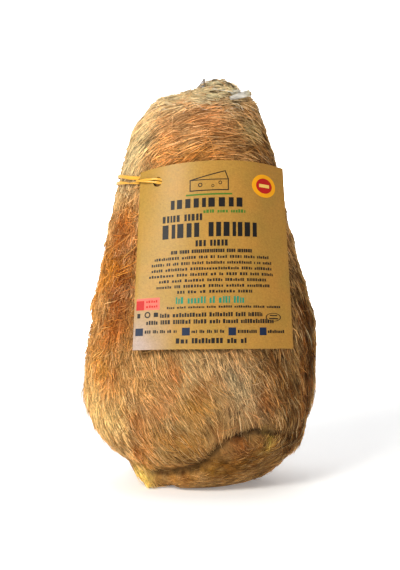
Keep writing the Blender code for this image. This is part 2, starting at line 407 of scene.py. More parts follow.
@dataclass(frozen=True)
class KraftFinish:
    """Unbleached kraft card: fibres and specks, faint mottling, a soft gloss and a painted glare that makes
    its lower left corner pale.
    """

    name: str = "kraft_card"
    tone: Tone = Tone.KRAFT
    warm: Tone = Tone.KRAFT_WARM
    rubbed: Tone = Tone.KRAFT_RUBBED
    warm_from: float = -30.0
    warm_to: float = 45.0
    warm_share: float = 0.4
    glare_side: float = -36.0
    glare_side_end: float = -14.0
    glare_low: float = 91.0
    glare_low_end: float = 118.0

    def make(self) -> bpy.types.Material:
        """Build the material.

        Returns:
            The material.
        """
        tree = ShaderTree(self.name)
        fibres = tree.noise(0.6, detail=3.0, stretch=(0.45, 0.45, 1.6), rough=0.7)
        grain = tree.noise(1.3, detail=2.0, rough=0.6)
        specks = tree.noise(0.8, detail=2.0)
        mottle = tree.noise(16.0, detail=3.0)
        value = tree.times(tree.spread(fibres, 0.25, 0.75, 0.84, 1.12), tree.vary(mottle, 0.93, 1.05))
        value = tree.times(value, tree.vary(grain, 0.90, 1.09))
        value = tree.times(value, tree.spread(specks, 0.64, 0.74, 1.0, 0.66))
        split = tree.split(tree.place())
        warm = tree.spread(split["X"], self.warm_from * MM, self.warm_to * MM, 0.0, 1.0)
        warm = tree.times(warm, self.warm_share)
        warm = tree.math("ADD", warm, tree.spread(mottle, 0.35, 0.65, -0.1, 0.25), clamp=True)
        tint = tree.mix(warm, self.tone.linear(), self.warm.linear())
        # Painted reflection: a pale glare mixed into the card's lower left corner.
        corner = tree.times(
            tree.spread(split["X"], self.glare_side * MM, self.glare_side_end * MM, 1.0, 0.0),
            tree.spread(split["Z"], self.glare_low * MM, self.glare_low_end * MM, 1.0, 0.0),
        )
        glare_share = tree.times(corner, tree.spread(mottle, 0.25, 0.7, 0.55, 0.95))
        tint = tree.mix(glare_share, tint, self.rubbed.linear())
        tree.set(Base_Color=tree.scaled(tint, value), Roughness=tree.vary(fibres, 0.40, 0.52))
        tree.set(Specular_IOR_Level=0.32)
        tree.bump(fibres, 0.03)
        return tree.material


@dataclass(frozen=True)
class InkFinish:
    """Printing ink on card: one colour, thinner and thicker as it lies on the fibres."""

    name: str
    tone: Tone
    roughness: float = 0.5

    def make(self) -> bpy.types.Material:
        """Build the material.

        Returns:
            The material.
        """
        tree = ShaderTree(self.name)
        fibres = tree.noise(0.4, detail=3.0, stretch=(0.5, 0.5, 1.5), rough=0.7)
        worn = tree.spread(fibres, 0.64, 0.8, 0.0, 0.22)
        tree.set(Base_Color=tree.mix(worn, self.tone.linear(), Tone.KRAFT.linear()))
        tree.set(Roughness=tree.vary(fibres, self.roughness - 0.05, self.roughness + 0.08))
        tree.set(Specular_IOR_Level=0.25)
        tree.bump(fibres, 0.02)
        return tree.material


@dataclass(frozen=True)
class ElasticFinish:
    """Golden elastic: rubber with fine lines and a dull shine."""

    name: str = "elastic_gold"

    def make(self) -> bpy.types.Material:
        """Build the material.

        Returns:
            The material.
        """
        tree = ShaderTree(self.name)
        lines = tree.noise(0.35, detail=3.0, stretch=(0.12, 0.12, 1.0))
        dust = tree.noise(5.0, detail=3.0)
        value = tree.times(tree.vary(lines, 0.82, 1.1), tree.vary(dust, 0.92, 1.05))
        tree.set(Base_Color=tree.scaled(Tone.ELASTIC.linear(), value))
        tree.set(Roughness=tree.vary(lines, 0.34, 0.5))
        tree.bump(lines, 0.12)
        return tree.material


@dataclass(frozen=True)
class StripFinish:
    """Scraped white hide: off-white, creamy at its cut end and brown on the edge, with fibres along it."""

    name: str = "white_hide"
    pale: tuple[float, float, float] = (0.56, 0.52, 0.45)
    creamy: tuple[float, float, float] = (0.58, 0.49, 0.29)
    cut_from: float = 27.0
    cut_to: float = 31.5
    edge_from: float = 30.6
    edge_to: float = 31.6

    def make(self) -> bpy.types.Material:
        """Build the material.

        Returns:
            The material.
        """
        tree = ShaderTree(self.name)
        fibres = tree.noise(1.5, detail=4.0, stretch=(0.14, 0.5, 1.0), rough=0.7)
        across = tree.split(tree.place())["X"]
        cut = tree.spread(across, self.cut_from * MM, self.cut_to * MM, 0.0, 1.0)
        edge = tree.spread(across, self.edge_from * MM, self.edge_to * MM, 0.0, 0.6)
        base = tree.mix(edge, tree.mix(cut, self.pale, self.creamy), Tone.BROWN.linear())
        tree.set(Base_Color=tree.scaled(base, tree.spread(fibres, 0.35, 0.65, 0.42, 1.25)))
        tree.set(Roughness=tree.vary(fibres, 0.5, 0.7))
        tree.bump(fibres, 0.7)
        return tree.material


@dataclass(frozen=True)
class PlainFinish:
    """Matt paint of the floor, which glows a little."""

    name: str
    colour: tuple[float, float, float]
    roughness: float = 0.8
    glow: float = 0.2

    def make(self) -> bpy.types.Material:
        """Build the material.

        Returns:
            The material.
        """
        tree = ShaderTree(self.name)
        tree.set(Base_Color=(*self.colour, 1.0), Roughness=self.roughness)
        tree.set(Specular_IOR_Level=0.1)
        tree.set(Emission_Color=(1.0, 1.0, 1.0, 1.0), Emission_Strength=self.glow)
        return tree.material


def whole_copy(node: str) -> bmesh.types.BMesh:
    """Joined-up copy of a node's loose triangles.

    Args:
        node: The node's name.

    Returns:
        The copy, with its doubles merged.
    """
    copy = bmesh.new()
    copy.from_mesh(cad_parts[node].data)
    bmesh.ops.remove_doubles(copy, verts=copy.verts, dist=0.01 * MM)
    return copy


def solid_tree(node: str) -> BVHTree:
    """Search tree of a node's solid.

    Args:
        node: The node's name.

    Returns:
        The tree.
    """
    solid = whole_copy(node)
    tree = BVHTree.FromBMesh(solid)
    solid.free()
    return tree


def new_object(name: str, mesh: bpy.types.Mesh, material: bpy.types.Material) -> bpy.types.Object:
    """Object at the origin with one mesh and one material.

    Args:
        name: The piece's name.
        mesh: Its mesh.
        material: Its finish.

    Returns:
        The object.
    """
    mesh.materials.clear()
    mesh.materials.append(material)
    made = bpy.data.objects.new(name, mesh)
    bpy.context.scene.collection.objects.link(made)
    return made


def mesh_of(name: str, points: list | np.ndarray, faces: list) -> bpy.types.Mesh:
    """Smooth mesh from points and faces, with its faces turned outwards.

    Args:
        name: The mesh's name.
        points: Points in metres.
        faces: Faces as lists of point numbers.

    Returns:
        The mesh.
    """
    mesh = bpy.data.meshes.new(name)
    mesh.from_pydata([tuple(point) for point in points], [], faces)
    shaped = bmesh.new()
    shaped.from_mesh(mesh)
    bmesh.ops.recalc_face_normals(shaped, faces=shaped.faces)
    shaped.to_mesh(mesh)
    shaped.free()
    mesh.shade_smooth()
    return mesh


def mesh_arrays(mesh: bpy.types.Mesh) -> tuple[np.ndarray, np.ndarray]:
    """Places and normals of a mesh's points.

    Args:
        mesh: The mesh.

    Returns:
        Places and normals, one row a point.
    """
    places = np.empty(len(mesh.vertices) * 3)
    mesh.vertices.foreach_get("co", places)
    normals = np.array([tuple(normal.vector) for normal in mesh.vertex_normals])
    return places.reshape(-1, 3), normals


def plain_mesh(made: bpy.types.Object) -> None:
    """Turn what an object's modifiers make into its own mesh, and drop the modifiers.

    Args:
        made: The object.
    """
    graph = bpy.context.evaluated_depsgraph_get()
    shaped = made.evaluated_get(graph)
    result = bpy.data.meshes.new_from_object(shaped, preserve_all_data_layers=True, depsgraph=graph)
    made.modifiers.clear()
    made.data = result


def softened(node: str, name: str, levels: int, material: bpy.types.Material) -> bpy.types.Object:
    """Copy of a node's solid with its edges rounded.

    Args:
        node: The node's name.
        name: The copy's name.
        levels: How often its faces are divided.
        material: Its finish.

    Returns:
        The copy.
    """
    shape = whole_copy(node)
    mesh = bpy.data.meshes.new(name)
    shape.to_mesh(mesh)
    shape.free()
    made = new_object(name, mesh, material)
    soft = made.modifiers.new("soft", "SUBSURF")
    soft.levels = soft.render_levels = levels
    plain_mesh(made)
    return made


def put_points(made: bpy.types.Object, places: np.ndarray) -> None:
    """Move an object's points to new places and smooth it.

    Args:
        made: The object.
        places: Its points' places in metres.
    """
    made.data.vertices.foreach_set("co", places.ravel())
    made.data.update()
    made.data.shade_smooth()


def ramp(values: float | np.ndarray, start: float, reach: float) -> float | np.ndarray:
    """Numbers that go from 0 at the start to 1 a reach away, downwards where the reach is negative."""
    return np.clip((values - start) / reach, 0.0, 1.0)


def blend(colours: np.ndarray, tone: Tone, share: np.ndarray) -> np.ndarray:
    """Colours with a share of a tone mixed into each."""
    return colours * (1.0 - share[:, None]) + np.array(tone.linear()) * share[:, None]


def rim_faces(loop: list[int], layer: int) -> list[tuple[int, ...]]:
    """Faces that close a slab's edge."""
    ahead = loop[1:] + loop[:1]
    return [(a, b, b + layer, a + layer) for a, b in zip(loop, ahead)]


def slab_faces(
    high: int, wide: int, first: int = 0, wrap: bool = False, filled: bool = False
) -> list[tuple[int, ...]]:
    """Faces of a closed slab whose upper and lower points both stand in rows.

    Args:
        high: Number of rows.
        wide: Number of points in a row.
        first: Number of the first point.
        wrap: True where each row closes on itself.
        filled: True to close the first row with one face.

    Returns:
        The faces.
    """
    layer = high * wide
    faces = []
    for row in range(high - 1):
        for i in range(wide if wrap else wide - 1):
            j = (i + 1) % wide
            a, b = first + row * wide, first + (row + 1) * wide
            front = (a + i, b + i, b + j, a + j)
            faces.append(front)
            faces.append(tuple(k + layer for k in reversed(front)))
    ring = list(range(first, first + wide))
    last = list(range(first + (high - 1) * wide, first + high * wide))
    if not wrap:
        sides = [first + row * wide + wide - 1 for row in range(1, high - 1)]
        back = [first + row * wide for row in range(high - 2, 0, -1)]
        return faces + rim_faces(ring + sides + last[::-1] + back, layer)
    faces += rim_faces(last, layer)
    if filled:
        return faces + [tuple(reversed(ring)), tuple(k + layer for k in ring)]
    return faces + rim_faces(ring[::-1], layer)


def report(made: bpy.types.Object) -> None:
    """Log a piece's name and size.

    Args:
        made: The piece.
    """
    triangles = sum(len(face.vertices) - 2 for face in made.data.polygons)
    size = " x ".join(f"{value / MM:.1f}" for value in made.dimensions)
    LOG.info("%s: %d triangles, %s mm", made.name, triangles, size)


@dataclass
class HideSkin:
    """The hide: a closed surface just inside the hair's outline, and what grows where on it."""

    columns: int = 260
    bottom_rows: int = 70
    middle_rows: int = 116
    top_rows: int = 64
    low_hub: float = 48.0
    high_hub: float = 214.0
    top_lean: float = 7.0
    inset: float = 1.3
    right_relief: float = 0.9
    lump_size: float = 15.0
    lump_depth: float = 0.7
    wrinkle_size: float = 4.5
    wrinkle_depth: float = 0.35
    pucker_from: float = 234.0
    pucker_size: float = 7.0
    pucker_depth: float = 3.2
    swells: tuple[Spot, ...] = (
        Spot(-12.0, 248.0, 17.0, 9.0, -1.7),
        Spot(1.0, 252.0, 5.0, 6.0, -1.5),
        Spot(-66.0, 116.0, 12.0, 9.0, 3.4),
        Spot(-38.0, 25.0, 9.0, 8.0, -1.8),
        Spot(-38.0, 9.0, 6.0, 6.0, 2.0),
    )
    smoothings: int = 4
    least_depth: float = 0.12
    inset_fade: float = 12.0
    relief_fade: float = 10.0
    pucker_fade: float = 12.0
    lowest: float = 0.1
    points: np.ndarray = field(default=None, init=False)
    normals: np.ndarray = field(default=None, init=False)
    object: bpy.types.Object = field(default=None, init=False)

    def rays(self) -> list[tuple[Vector, float]]:
        """Starting point and rise of the rays of each row, from the foot to the top.

        Returns:
            Pairs of a hub and an angle above the horizontal.
        """
        rows = []
        for i in range(1, self.bottom_rows):
            rows.append((Vector((0.0, 0.0, self.low_hub)), -90.0 + 90.0 * i / self.bottom_rows))
        for i in range(self.middle_rows):
            share = i / self.middle_rows
            rows.append((Vector((0.0, 0.0, self.low_hub + (self.high_hub - self.low_hub) * share)), 0.0))
        for i in range(self.top_rows):
            rise = 90.0 * i / self.top_rows
            rows.append((Vector((self.top_lean * rise / 90.0, 0.0, self.high_hub)), rise))
        return rows

    def cast(self, rows: list[tuple[Vector, float]]) -> np.ndarray:
        """Cast rays at the solid from inside, and smooth the surface of the places that they hit.

        Args:
            rows: Hub and rise of each row of rays.

        Returns:
            The points in metres, row by row, then the foot and the top.
        """
        tree = solid_tree("sack")
        points = []
        for hub, rise in rows:
            lift = math.radians(rise)
            level = math.cos(lift)
            for i in range(self.columns):
                turn = math.tau * i / self.columns
                way = Vector((math.sin(turn) * level, -math.cos(turn) * level, math.sin(lift)))
                points.append(tree.ray_cast(hub * MM, way)[0])
        ends = [
            tree.ray_cast(rows[0][0] * MM, Vector((0.0, 0.0, -1.0)))[0],
            tree.ray_cast(rows[-1][0] * MM, Vector((0.0, 0.0, 1.0)))[0],
        ]
        grid = np.array(points).reshape(len(rows), self.columns, 3)
        for _ in range(self.smoothings):
            around = (np.roll(grid, 1, axis=1) + np.roll(grid, -1, axis=1)) / 2
            grid = grid * 0.5 + around * 0.5
            grid[1:-1] = grid[1:-1] * 0.6 + (grid[:-2] + grid[2:]) * 0.2
        return np.vstack([grid.reshape(-1, 3), np.array(ends)])

    def build(self, finish: HideFinish) -> bpy.types.Object:
        """Cast the surface from the solid, set it in, and add lumps and wrinkles.

        Args:
            finish: The hide's finish.

        Returns:
            The hide.
        """
        rows = self.rays()
        self.points = self.cast(rows)
        mesh = mesh_of("hide", self.points, self.faces(len(rows)))
        self.normals = np.array([vertex.normal for vertex in mesh.vertices])
        height = self.points[:, 2] / MM
        shallow = 1.0 - self.right_relief * np.clip(self.normals[:, 0], 0.0, 1.0)
        depth = self.inset * shallow * ramp(height, 1.0, self.inset_fade) + self.least_depth
        relief = np.array([self.relief(Vector(point)) for point in self.points])
        relief *= ramp(height, 0.0, self.relief_fade)
        for spot in self.swells:
            relief += spot.amount * self.near(spot)
        self.points = self.points + self.normals * ((relief - depth) * MM)[:, None]
        self.points[:, 2] = np.maximum(self.points[:, 2], self.lowest * MM)
        mesh.vertices.foreach_set("co", self.points.ravel())
        mesh.update()
        self.normals = np.array([vertex.normal for vertex in mesh.vertices])
        self.object = new_object("hide", mesh, finish.make())
        return self.object

    def faces(self, rows: int) -> list[tuple[int, ...]]:
        """Faces between the rows, and fans at both ends.

        Args:
            rows: Number of rows of points.

        Returns:
            The faces.
        """
        wide = self.columns
        foot, top = rows * wide, rows * wide + 1
        last = (rows - 1) * wide
        faces = []
        for i in range(wide):
            j = (i + 1) % wide
            for row in range(rows - 1):
                low = row * wide
                faces.append((low + i, low + j, low + wide + j, low + wide + i))
            faces.append((foot, j, i))
            faces.append((top, last + i, last + j))
        return faces

    def relief(self, point: Vector) -> float:
        """Lumps and wrinkles of the hide at a point, in millimetres.

        Args:
            point: The point in metres.

        Returns:
            How far the hide stands out.
        """
        lump = noise.noise(point / (self.lump_size * MM))
        wrinkle = noise.noise(point / (self.wrinkle_size * MM) + Vector((7.0, 3.0, 1.0)))
        drawn = ramp(point.z / MM, self.pucker_from, self.pucker_fade)
        pucker = abs(noise.noise(point / (self.pucker_size * MM) + Vector((2.0, 9.0, 4.0))))
        gathered = (0.3 - pucker) * drawn * self.pucker_depth
        return lump * self.lump_depth + wrinkle * self.wrinkle_depth + gathered

    def seen_place(self, across: float, height: float, side: Side) -> np.ndarray:
        """Point of the hide seen at a place from the front or the back.

        Args:
            across: Millimetres right of the middle, as +X.
            height: Millimetres above the floor.
            side: The side it is seen from.

        Returns:
            The point in metres.
        """
        gap = (self.points[:, 0] - across * MM) ** 2 + (self.points[:, 2] - height * MM) ** 2
        gap = gap + np.where(self.points[:, 1] * side.value > -4.0 * MM, 0.0, 1.0)
        return self.points[int(np.argmin(gap))]

    def near(
        self, place: Place, side: Side = Side.FRONT, points: np.ndarray | None = None
    ) -> np.ndarray:
        """Bell-shaped nearness of points to a place.

        Args:
            place: The place.
            side: The side it is seen from.
            points: The points in metres, or None for the hide's own.

        Returns:
            Numbers from 0 to 1.
        """
        points = self.points if points is None else points
        away = (points - self.seen_place(place.across, place.height, side)) / MM
        flat = (away[:, 0] ** 2 + away[:, 1] ** 2) / place.wide**2
        return np.exp(-(flat + away[:, 2] ** 2 / place.tall**2))

    def ripple(self, size: float, seed: float) -> np.ndarray:
        """Smooth noise at each point of the hide."""
        shift = Vector((seed, seed * 0.7, -seed * 1.3))
        return np.array([noise.noise(Vector(point) / (size * MM) + shift) for point in self.points])

    def set_numbers(self, name: str, values: np.ndarray) -> None:
        """Store one number for each point."""
        attribute = self.object.data.attributes.new(name, "FLOAT", "POINT")
        attribute.data.foreach_set("value", values.astype(np.float32))


@dataclass(frozen=True)
class FoldLine:
    """The fold across the lower front: heights by the angle round from the front towards +X."""

    angles: tuple[float, ...] = (-46.0, -24.0, -2.0, 6.0, 15.0, 33.0, 62.0)
    heights: tuple[float, ...] = (14.0, 15.0, 20.0, 28.0, 37.5, 41.5, 33.0)
    fade: float = 9.0

    def above(self, points: np.ndarray) -> np.ndarray:
        """Height of points above the fold."""
        angle = np.degrees(np.arctan2(points[:, 0], -points[:, 1]))
        return points[:, 2] / MM - np.interp(angle, self.angles, self.heights)

    def strength(self, points: np.ndarray) -> np.ndarray:
        """How clearly the fold shows at points, which is not at all past its ends."""
        angle = np.degrees(np.arctan2(points[:, 0], -points[:, 1]))
        return ramp(angle, self.angles[0], self.fade) * ramp(angle, self.angles[-1], -2 * self.fade)

    def band(self, points: np.ndarray, low: float | np.ndarray, high: float, soft: float = 1.5) -> np.ndarray:
        """Share of points between two heights above the fold.

        Args:
            points: The points in metres.
            low: Lower height in millimetres, one for all points or one for each.
            high: Upper height.
            soft: Width of the soft edges.

        Returns:
            Numbers from 0 to 1.
        """
        above = self.above(points)
        inside = np.clip((above - low) / soft + 0.5, 0.0, 1.0)
        inside *= np.clip((high - above) / soft + 0.5, 0.0, 1.0)
        return inside * self.strength(points)


@dataclass
class Coat:
    """What the hair does over the hide: its colour, the way it lies, and how thick each kind grows."""

    skin: HideSkin
    patches: tuple[Patch, ...]
    strokes: tuple[Stroke, ...]
    blur: float = 5.0
    low_darkening: float = 1.1
    darkening_top: float = 66.0
    darkening_fade: float = 30.0
    unflecked_corner: Place = Place(-35.0, 7.5, 12.0, 12.0)
    # Pale flecks are stronger on the left and brown flecks on the right: partly the coat's own flecks, partly
    # painted light on the left and painted shade on the right.
    mottles: tuple[Mottle, ...] = (
        Mottle(7.0, 51.0, Tone.RUST, 0.5, 0.55),
        Mottle(8.0, 63.0, Tone.CREAM, 0.5, 0.1),
        Mottle(5.0, 77.0, Tone.BROWN, 0.35, 0.8),
        Mottle(4.0, 88.0, Tone.BUTTER, 0.5, 0.0),
    )

    def paint(self) -> None:
        """Store the coat's colour, which every hair takes where it grows."""
        skin = self.skin
        warp = np.stack([skin.ripple(11.0, seed) for seed in (3.1, 5.7, 9.2)], axis=1) * self.blur * MM
        warp += np.stack([skin.ripple(4.0, seed) for seed in (1.1, 2.7, 4.2)], axis=1) * self.blur * 0.4 * MM
        places = skin.points + warp
        colour = np.tile(np.array(Tone.TAN.linear()), (len(places), 1))
        for patch in self.patches:
            colour = blend(colour, patch.tone, skin.near(patch, patch.side, places) * patch.strength)
        # Partly painted light and shade: each fleck's strength goes from its left value to its right value
        # across the sack.
        right = np.clip(0.45 + skin.points[:, 0] / (110.0 * MM), 0.0, 1.0)
        for mottle in self.mottles:
            strength = mottle.at_left + (mottle.at_right - mottle.at_left) * right
            flecks = np.clip(skin.ripple(mottle.size, mottle.seed) - 0.1, 0.0, 1.0)
            colour = blend(colour, mottle.tone, flecks * strength)
        # Umber flecks, thicker towards the bottom, left out at the yellow corner.
        low = ramp(skin.points[:, 2] / MM, self.darkening_top, -self.darkening_fade)
        low *= 1.0 - skin.near(self.unflecked_corner)
        flecks = np.clip(skin.ripple(3.4, 97.0) - 0.08, 0.0, 1.0)
        colour = blend(colour, Tone.UMBER, flecks * low * self.low_darkening)
        colour *= (1.0 + 0.24 * skin.ripple(6.0, 12.5) + 0.16 * skin.ripple(2.5, 17.5))[:, None]
        # Painted shade: the coat is darkened, unevenly, in a band just below the fold line, where the
        # overhanging hide shades it.
        uneven = skin.ripple(8.0, 91.0)
        crease = FoldLine().band(skin.points, -5.4 + 2.6 * uneven, -0.6, 2.4)
        colour *= (1.0 - crease * np.clip(0.62 + 0.5 * uneven, 0.25, 0.85))[:, None]
        attribute = skin.object.data.attributes.new("coat", "FLOAT_COLOR", "POINT")
        values = np.ones((len(places), 4), np.float32)
        values[:, :3] = np.clip(colour, 0.0, 1.0)
        attribute.data.foreach_set("color", values.ravel())

    def comb(self) -> None:
        """Store the line that the hair lies along, as twice its angle, and which way it leans on it."""
        skin = self.skin
        lines = np.zeros((len(skin.points), 2))
        leans = np.zeros((len(skin.points), 2))
        total = np.zeros((len(skin.points), 1))
        for stroke in self.strokes:
            share = skin.near(stroke, stroke.side)[:, None] + 1e-9
            way = math.radians(stroke.way)
            lines += share * np.array([math.cos(way * 2), math.sin(way * 2)])
            leans += share * np.array([math.cos(way), math.sin(way)])
            total += share
        turn = skin.ripple(17.0, 20.3) * 0.42 + skin.ripple(6.0, 31.9) * 0.34
        double = np.arctan2(lines[:, 1], lines[:, 0]) + 2 * turn
        self.store("lay", np.stack([np.cos(double), np.sin(double)], axis=1))
        self.store("lean", leans / total)

    def store(self, name: str, values: np.ndarray) -> None:
        """Store two numbers for each point of the hide.

        Args:
            name: The attribute's name.
            values: The numbers, two columns.
        """
        attribute = self.skin.object.data.attributes.new(name, "FLOAT_VECTOR", "POINT")
        three = np.column_stack([values, np.zeros(len(values))])
        attribute.data.foreach_set("vector", three.astype(np.float32).ravel())


class HairTree(Tree):
    """Geometry tree that grows one kind of hair on a hide."""

    SIZES = ("Length", "Spread", "Thickness", "Lift", "Wander", "Droop", "Curl", "Wave", "Wave Size")
    LOWEST = 0.35

    def __init__(self) -> None:
        """Build the tree with its named inputs."""
        super().__init__(bpy.data.node_groups.new("hair", "GeometryNodeTree"))
        face = self.tree.interface
        face.new_socket("Geometry", in_out="INPUT", socket_type="NodeSocketGeometry")
        face.new_socket("Cover", in_out="INPUT", socket_type="NodeSocketString")
        face.new_socket("Seed", in_out="INPUT", socket_type="NodeSocketInt")
        face.new_socket("Segments", in_out="INPUT", socket_type="NodeSocketInt")
        for name in ("Cells", "Strands", *self.SIZES):
            face.new_socket(name, in_out="INPUT", socket_type="NodeSocketFloat")
        face.new_socket("Finish", in_out="INPUT", socket_type="NodeSocketMaterial")
        face.new_socket("Geometry", in_out="OUTPUT", socket_type="NodeSocketGeometry")
        self.given = self.add("NodeGroupInput").outputs
        self.grow()

    def named(self, name: object, kind: str = "FLOAT") -> bpy.types.NodeSocket:
        """Value of a named attribute."""
        return self.out(self.add("GeometryNodeInputNamedAttribute", {"data_type": kind}, {"Name": name}))

    def named_vector(self, name: str) -> bpy.types.NodeSocket:
        """Value of a named vector."""
        return self.named(name, "FLOAT_VECTOR")

    def store(
        self, geometry: object, name: str, value: object, kind: str = "FLOAT", domain: str = "POINT"
    ) -> bpy.types.NodeSocket:
        """Store a value as a named attribute.

        Args:
            geometry: What to store it on.
            name: The attribute's name.
            value: The value's socket.
            kind: Its type.
            domain: Where on the mesh it is kept.

        Returns:
            The geometry with the attribute.
        """
        settings = {"data_type": kind, "domain": domain}
        inputs = {"Geometry": geometry, "Name": name, "Value": value}
        return self.add("GeometryNodeStoreNamedAttribute", settings, inputs).outputs[0]

    def chance(self, low: object, high: object, stream: int) -> bpy.types.NodeSocket:
        """Random number for each root."""
        seed = self.plus(self.given["Seed"], float(stream))
        return self.out(self.add("FunctionNodeRandomValue", None, {"Min": low, "Max": high, "Seed": seed}))

    def strand(self) -> bpy.types.NodeSocket:
        """One straight strand of unit length: three sides, full for most of it, then a point.

        Returns:
            The strand's geometry.
        """
        inputs = {
            "Vertices": 3,
            "Side Segments": self.given["Segments"],
            "Radius Top": 0.0,
            "Radius Bottom": 1.0,
            "Depth": 1.0,
        }
        cone = self.add("GeometryNodeMeshCone", None, inputs)
        place = self.add("GeometryNodeInputPosition").outputs[0]
        along = self.split(place)["Z"]
        shaped = self.store(cone.outputs["Mesh"], "along", along)
        uv = self.vector("MULTIPLY", cone.outputs["UV Map"], (1.0, 2.0, 0.0))
        shaped = self.store(shaped, "strand_uv", uv, "FLOAT2", "CORNER")
        left = self.math("SUBTRACT", 1.0, along)
        full = self.math("SUBTRACT", 1.0, self.math("POWER", along, 2.6))
        wide = self.math("DIVIDE", full, self.math("MAXIMUM", left, 0.001))
        wide = self.times(wide, self.given["Thickness"])
        moved = self.vector("MULTIPLY", place, self.joined(wide, wide, 1.0))
        return self.add("GeometryNodeSetPosition", None, {"Geometry": shaped, "Position": moved}).outputs[0]

    def grow(self) -> None:
        """Scatter the roots, lay a strand on each, and bend and wave the strands."""
        given = self.given
        density = self.times(self.named(given["Cover"]), given["Strands"])
        inputs = {"Mesh": given["Geometry"], "Density": density, "Seed": given["Seed"]}
        roots = self.add("GeometryNodeDistributePointsOnFaces", {"distribute_method": "RANDOM"}, inputs)
        points = self.store(roots.outputs["Points"], "away", roots.outputs["Normal"], "FLOAT_VECTOR")
        away = self.named_vector("away")
        flow = self.flow(away)
        across = self.vector("CROSS_PRODUCT", away, flow)
        stray = self.plus(self.chance(-1.0, 1.0, 1), self.chance(-1.0, 1.0, 2))
        stray = self.times(stray, given["Wander"], self.named("unrest"))
        heading = self.vector("NORMALIZE", self.vector("ADD", flow, self.scaled(across, stray)))
        points = self.store(points, "beside", self.vector("CROSS_PRODUCT", away, heading), "FLOAT_VECTOR")
        lift = self.times(given["Lift"], self.named("fluff"), self.chance(0.5, 1.5, 3))
        rising = self.vector("NORMALIZE", self.vector("ADD", heading, self.scaled(away, lift)))
        points = self.store(points, "rising", rising, "FLOAT_VECTOR")
        reach = self.plus(1.0, self.times(self.chance(-1.0, 1.0, 4), given["Spread"]))
        reach = self.times(reach, self.named("long"), given["Length"])
        points = self.store(points, "reach", self.times(reach, MM))
        points = self.store(points, "tint", self.chance(0.0, 1.0, 5))
        bend = self.times(self.plus(self.chance(-1.0, 1.0, 6), self.chance(-1.0, 1.0, 7)), given["Curl"])
        points = self.store(points, "bend", self.times(bend, self.named("unrest")))
        points = self.store(points, "drop", self.times(given["Droop"], self.named("fluff")))
        points = self.store(points, "cell", self.add("GeometryNodeInputIndex").outputs[0])
        settings = {"axis": "Z", "pivot_axis": "AUTO"}
        inputs = {"Vector": self.named_vector("rising")}
        turn = self.add("FunctionNodeAlignRotationToVector", settings, inputs)
        settings = {"axis": "X", "pivot_axis": "Z"}
        inputs = {"Rotation": turn.outputs[0], "Vector": self.named_vector("away")}
        turn = self.add("FunctionNodeAlignRotationToVector", settings, inputs)
        reach = self.named("reach")
        inputs = {"Points": points, "Instance": self.strand(), "Rotation": turn.outputs[0]}
        laid = self.add("GeometryNodeInstanceOnPoints", None, inputs)
        self.put(laid.inputs["Scale"], self.joined(reach, reach, reach))
        real = self.add("GeometryNodeRealizeInstances", None, {"Geometry": laid.outputs[0]}).outputs[0]
        self.finish(self.bend(real))

    def flow(self, away: bpy.types.NodeSocket) -> bpy.types.NodeSocket:
        """Way that a root's hair lies; where two ways meet, some hairs take the one and some the other.

        Args:
            away: The hide's normal at the root.

        Returns:
            The way, as a unit vector along the hide.
        """
        lay = self.split(self.named_vector("lay"))
        lean = self.split(self.named_vector("lean"))
        angle = self.times(self.math("ARCTAN2", lay["Y"], lay["X"]), 0.5)
        level, steep = self.math("COSINE", angle), self.math("SINE", angle)
        agree = self.plus(self.times(level, lean["X"]), self.times(steep, lean["Y"]))
        side = self.math("SIGN", self.plus(agree, self.chance(-0.85, 0.85, 8)))
        around = self.vector("NORMALIZE", self.vector("CROSS_PRODUCT", (0.0, 0.0, 1.0), away))
        upward = self.vector("CROSS_PRODUCT", away, around)
        level, steep = self.times(level, side), self.times(steep, side)
        return self.vector("ADD", self.scaled(around, level), self.scaled(upward, steep))

    def bend(self, geometry: bpy.types.NodeSocket) -> bpy.types.NodeSocket:
        """Droop and curl each strand towards its tip, and sway neighbours together.

        Args:
            geometry: The straight strands.

        Returns:
            The bent strands.
        """
        along, reach = self.named("along"), self.named("reach")
        squared = self.times(along, along, reach)
        fall = self.scaled(self.named_vector("away"), self.times(self.named("drop"), squared, -1.0))
        aside = self.scaled(self.named_vector("beside"), self.times(self.named("bend"), squared))
        place = self.add("GeometryNodeInputPosition").outputs[0]
        scale = self.math("DIVIDE", 1.0 / MM, self.given["Wave Size"])
        inputs = {"Vector": place, "Scale": scale, "Detail": 1.0}
        sway = self.add("ShaderNodeTexNoise", None, inputs).outputs["Color"]
        sway = self.vector("SUBTRACT", sway, (0.5, 0.5, 0.5))
        sway = self.scaled(sway, self.times(along, self.given["Wave"], MM * 2.0))
        move = self.vector("ADD", self.vector("ADD", fall, aside), sway)
        bent = self.add("GeometryNodeSetPosition", None, {"Geometry": geometry, "Offset": move}).outputs[0]
        split = self.split(self.add("GeometryNodeInputPosition").outputs[0])
        kept = self.joined(split["X"], split["Y"], self.math("MAXIMUM", split["Z"], self.LOWEST * MM))
        return self.add("GeometryNodeSetPosition", None, {"Geometry": bent, "Position": kept}).outputs[0]

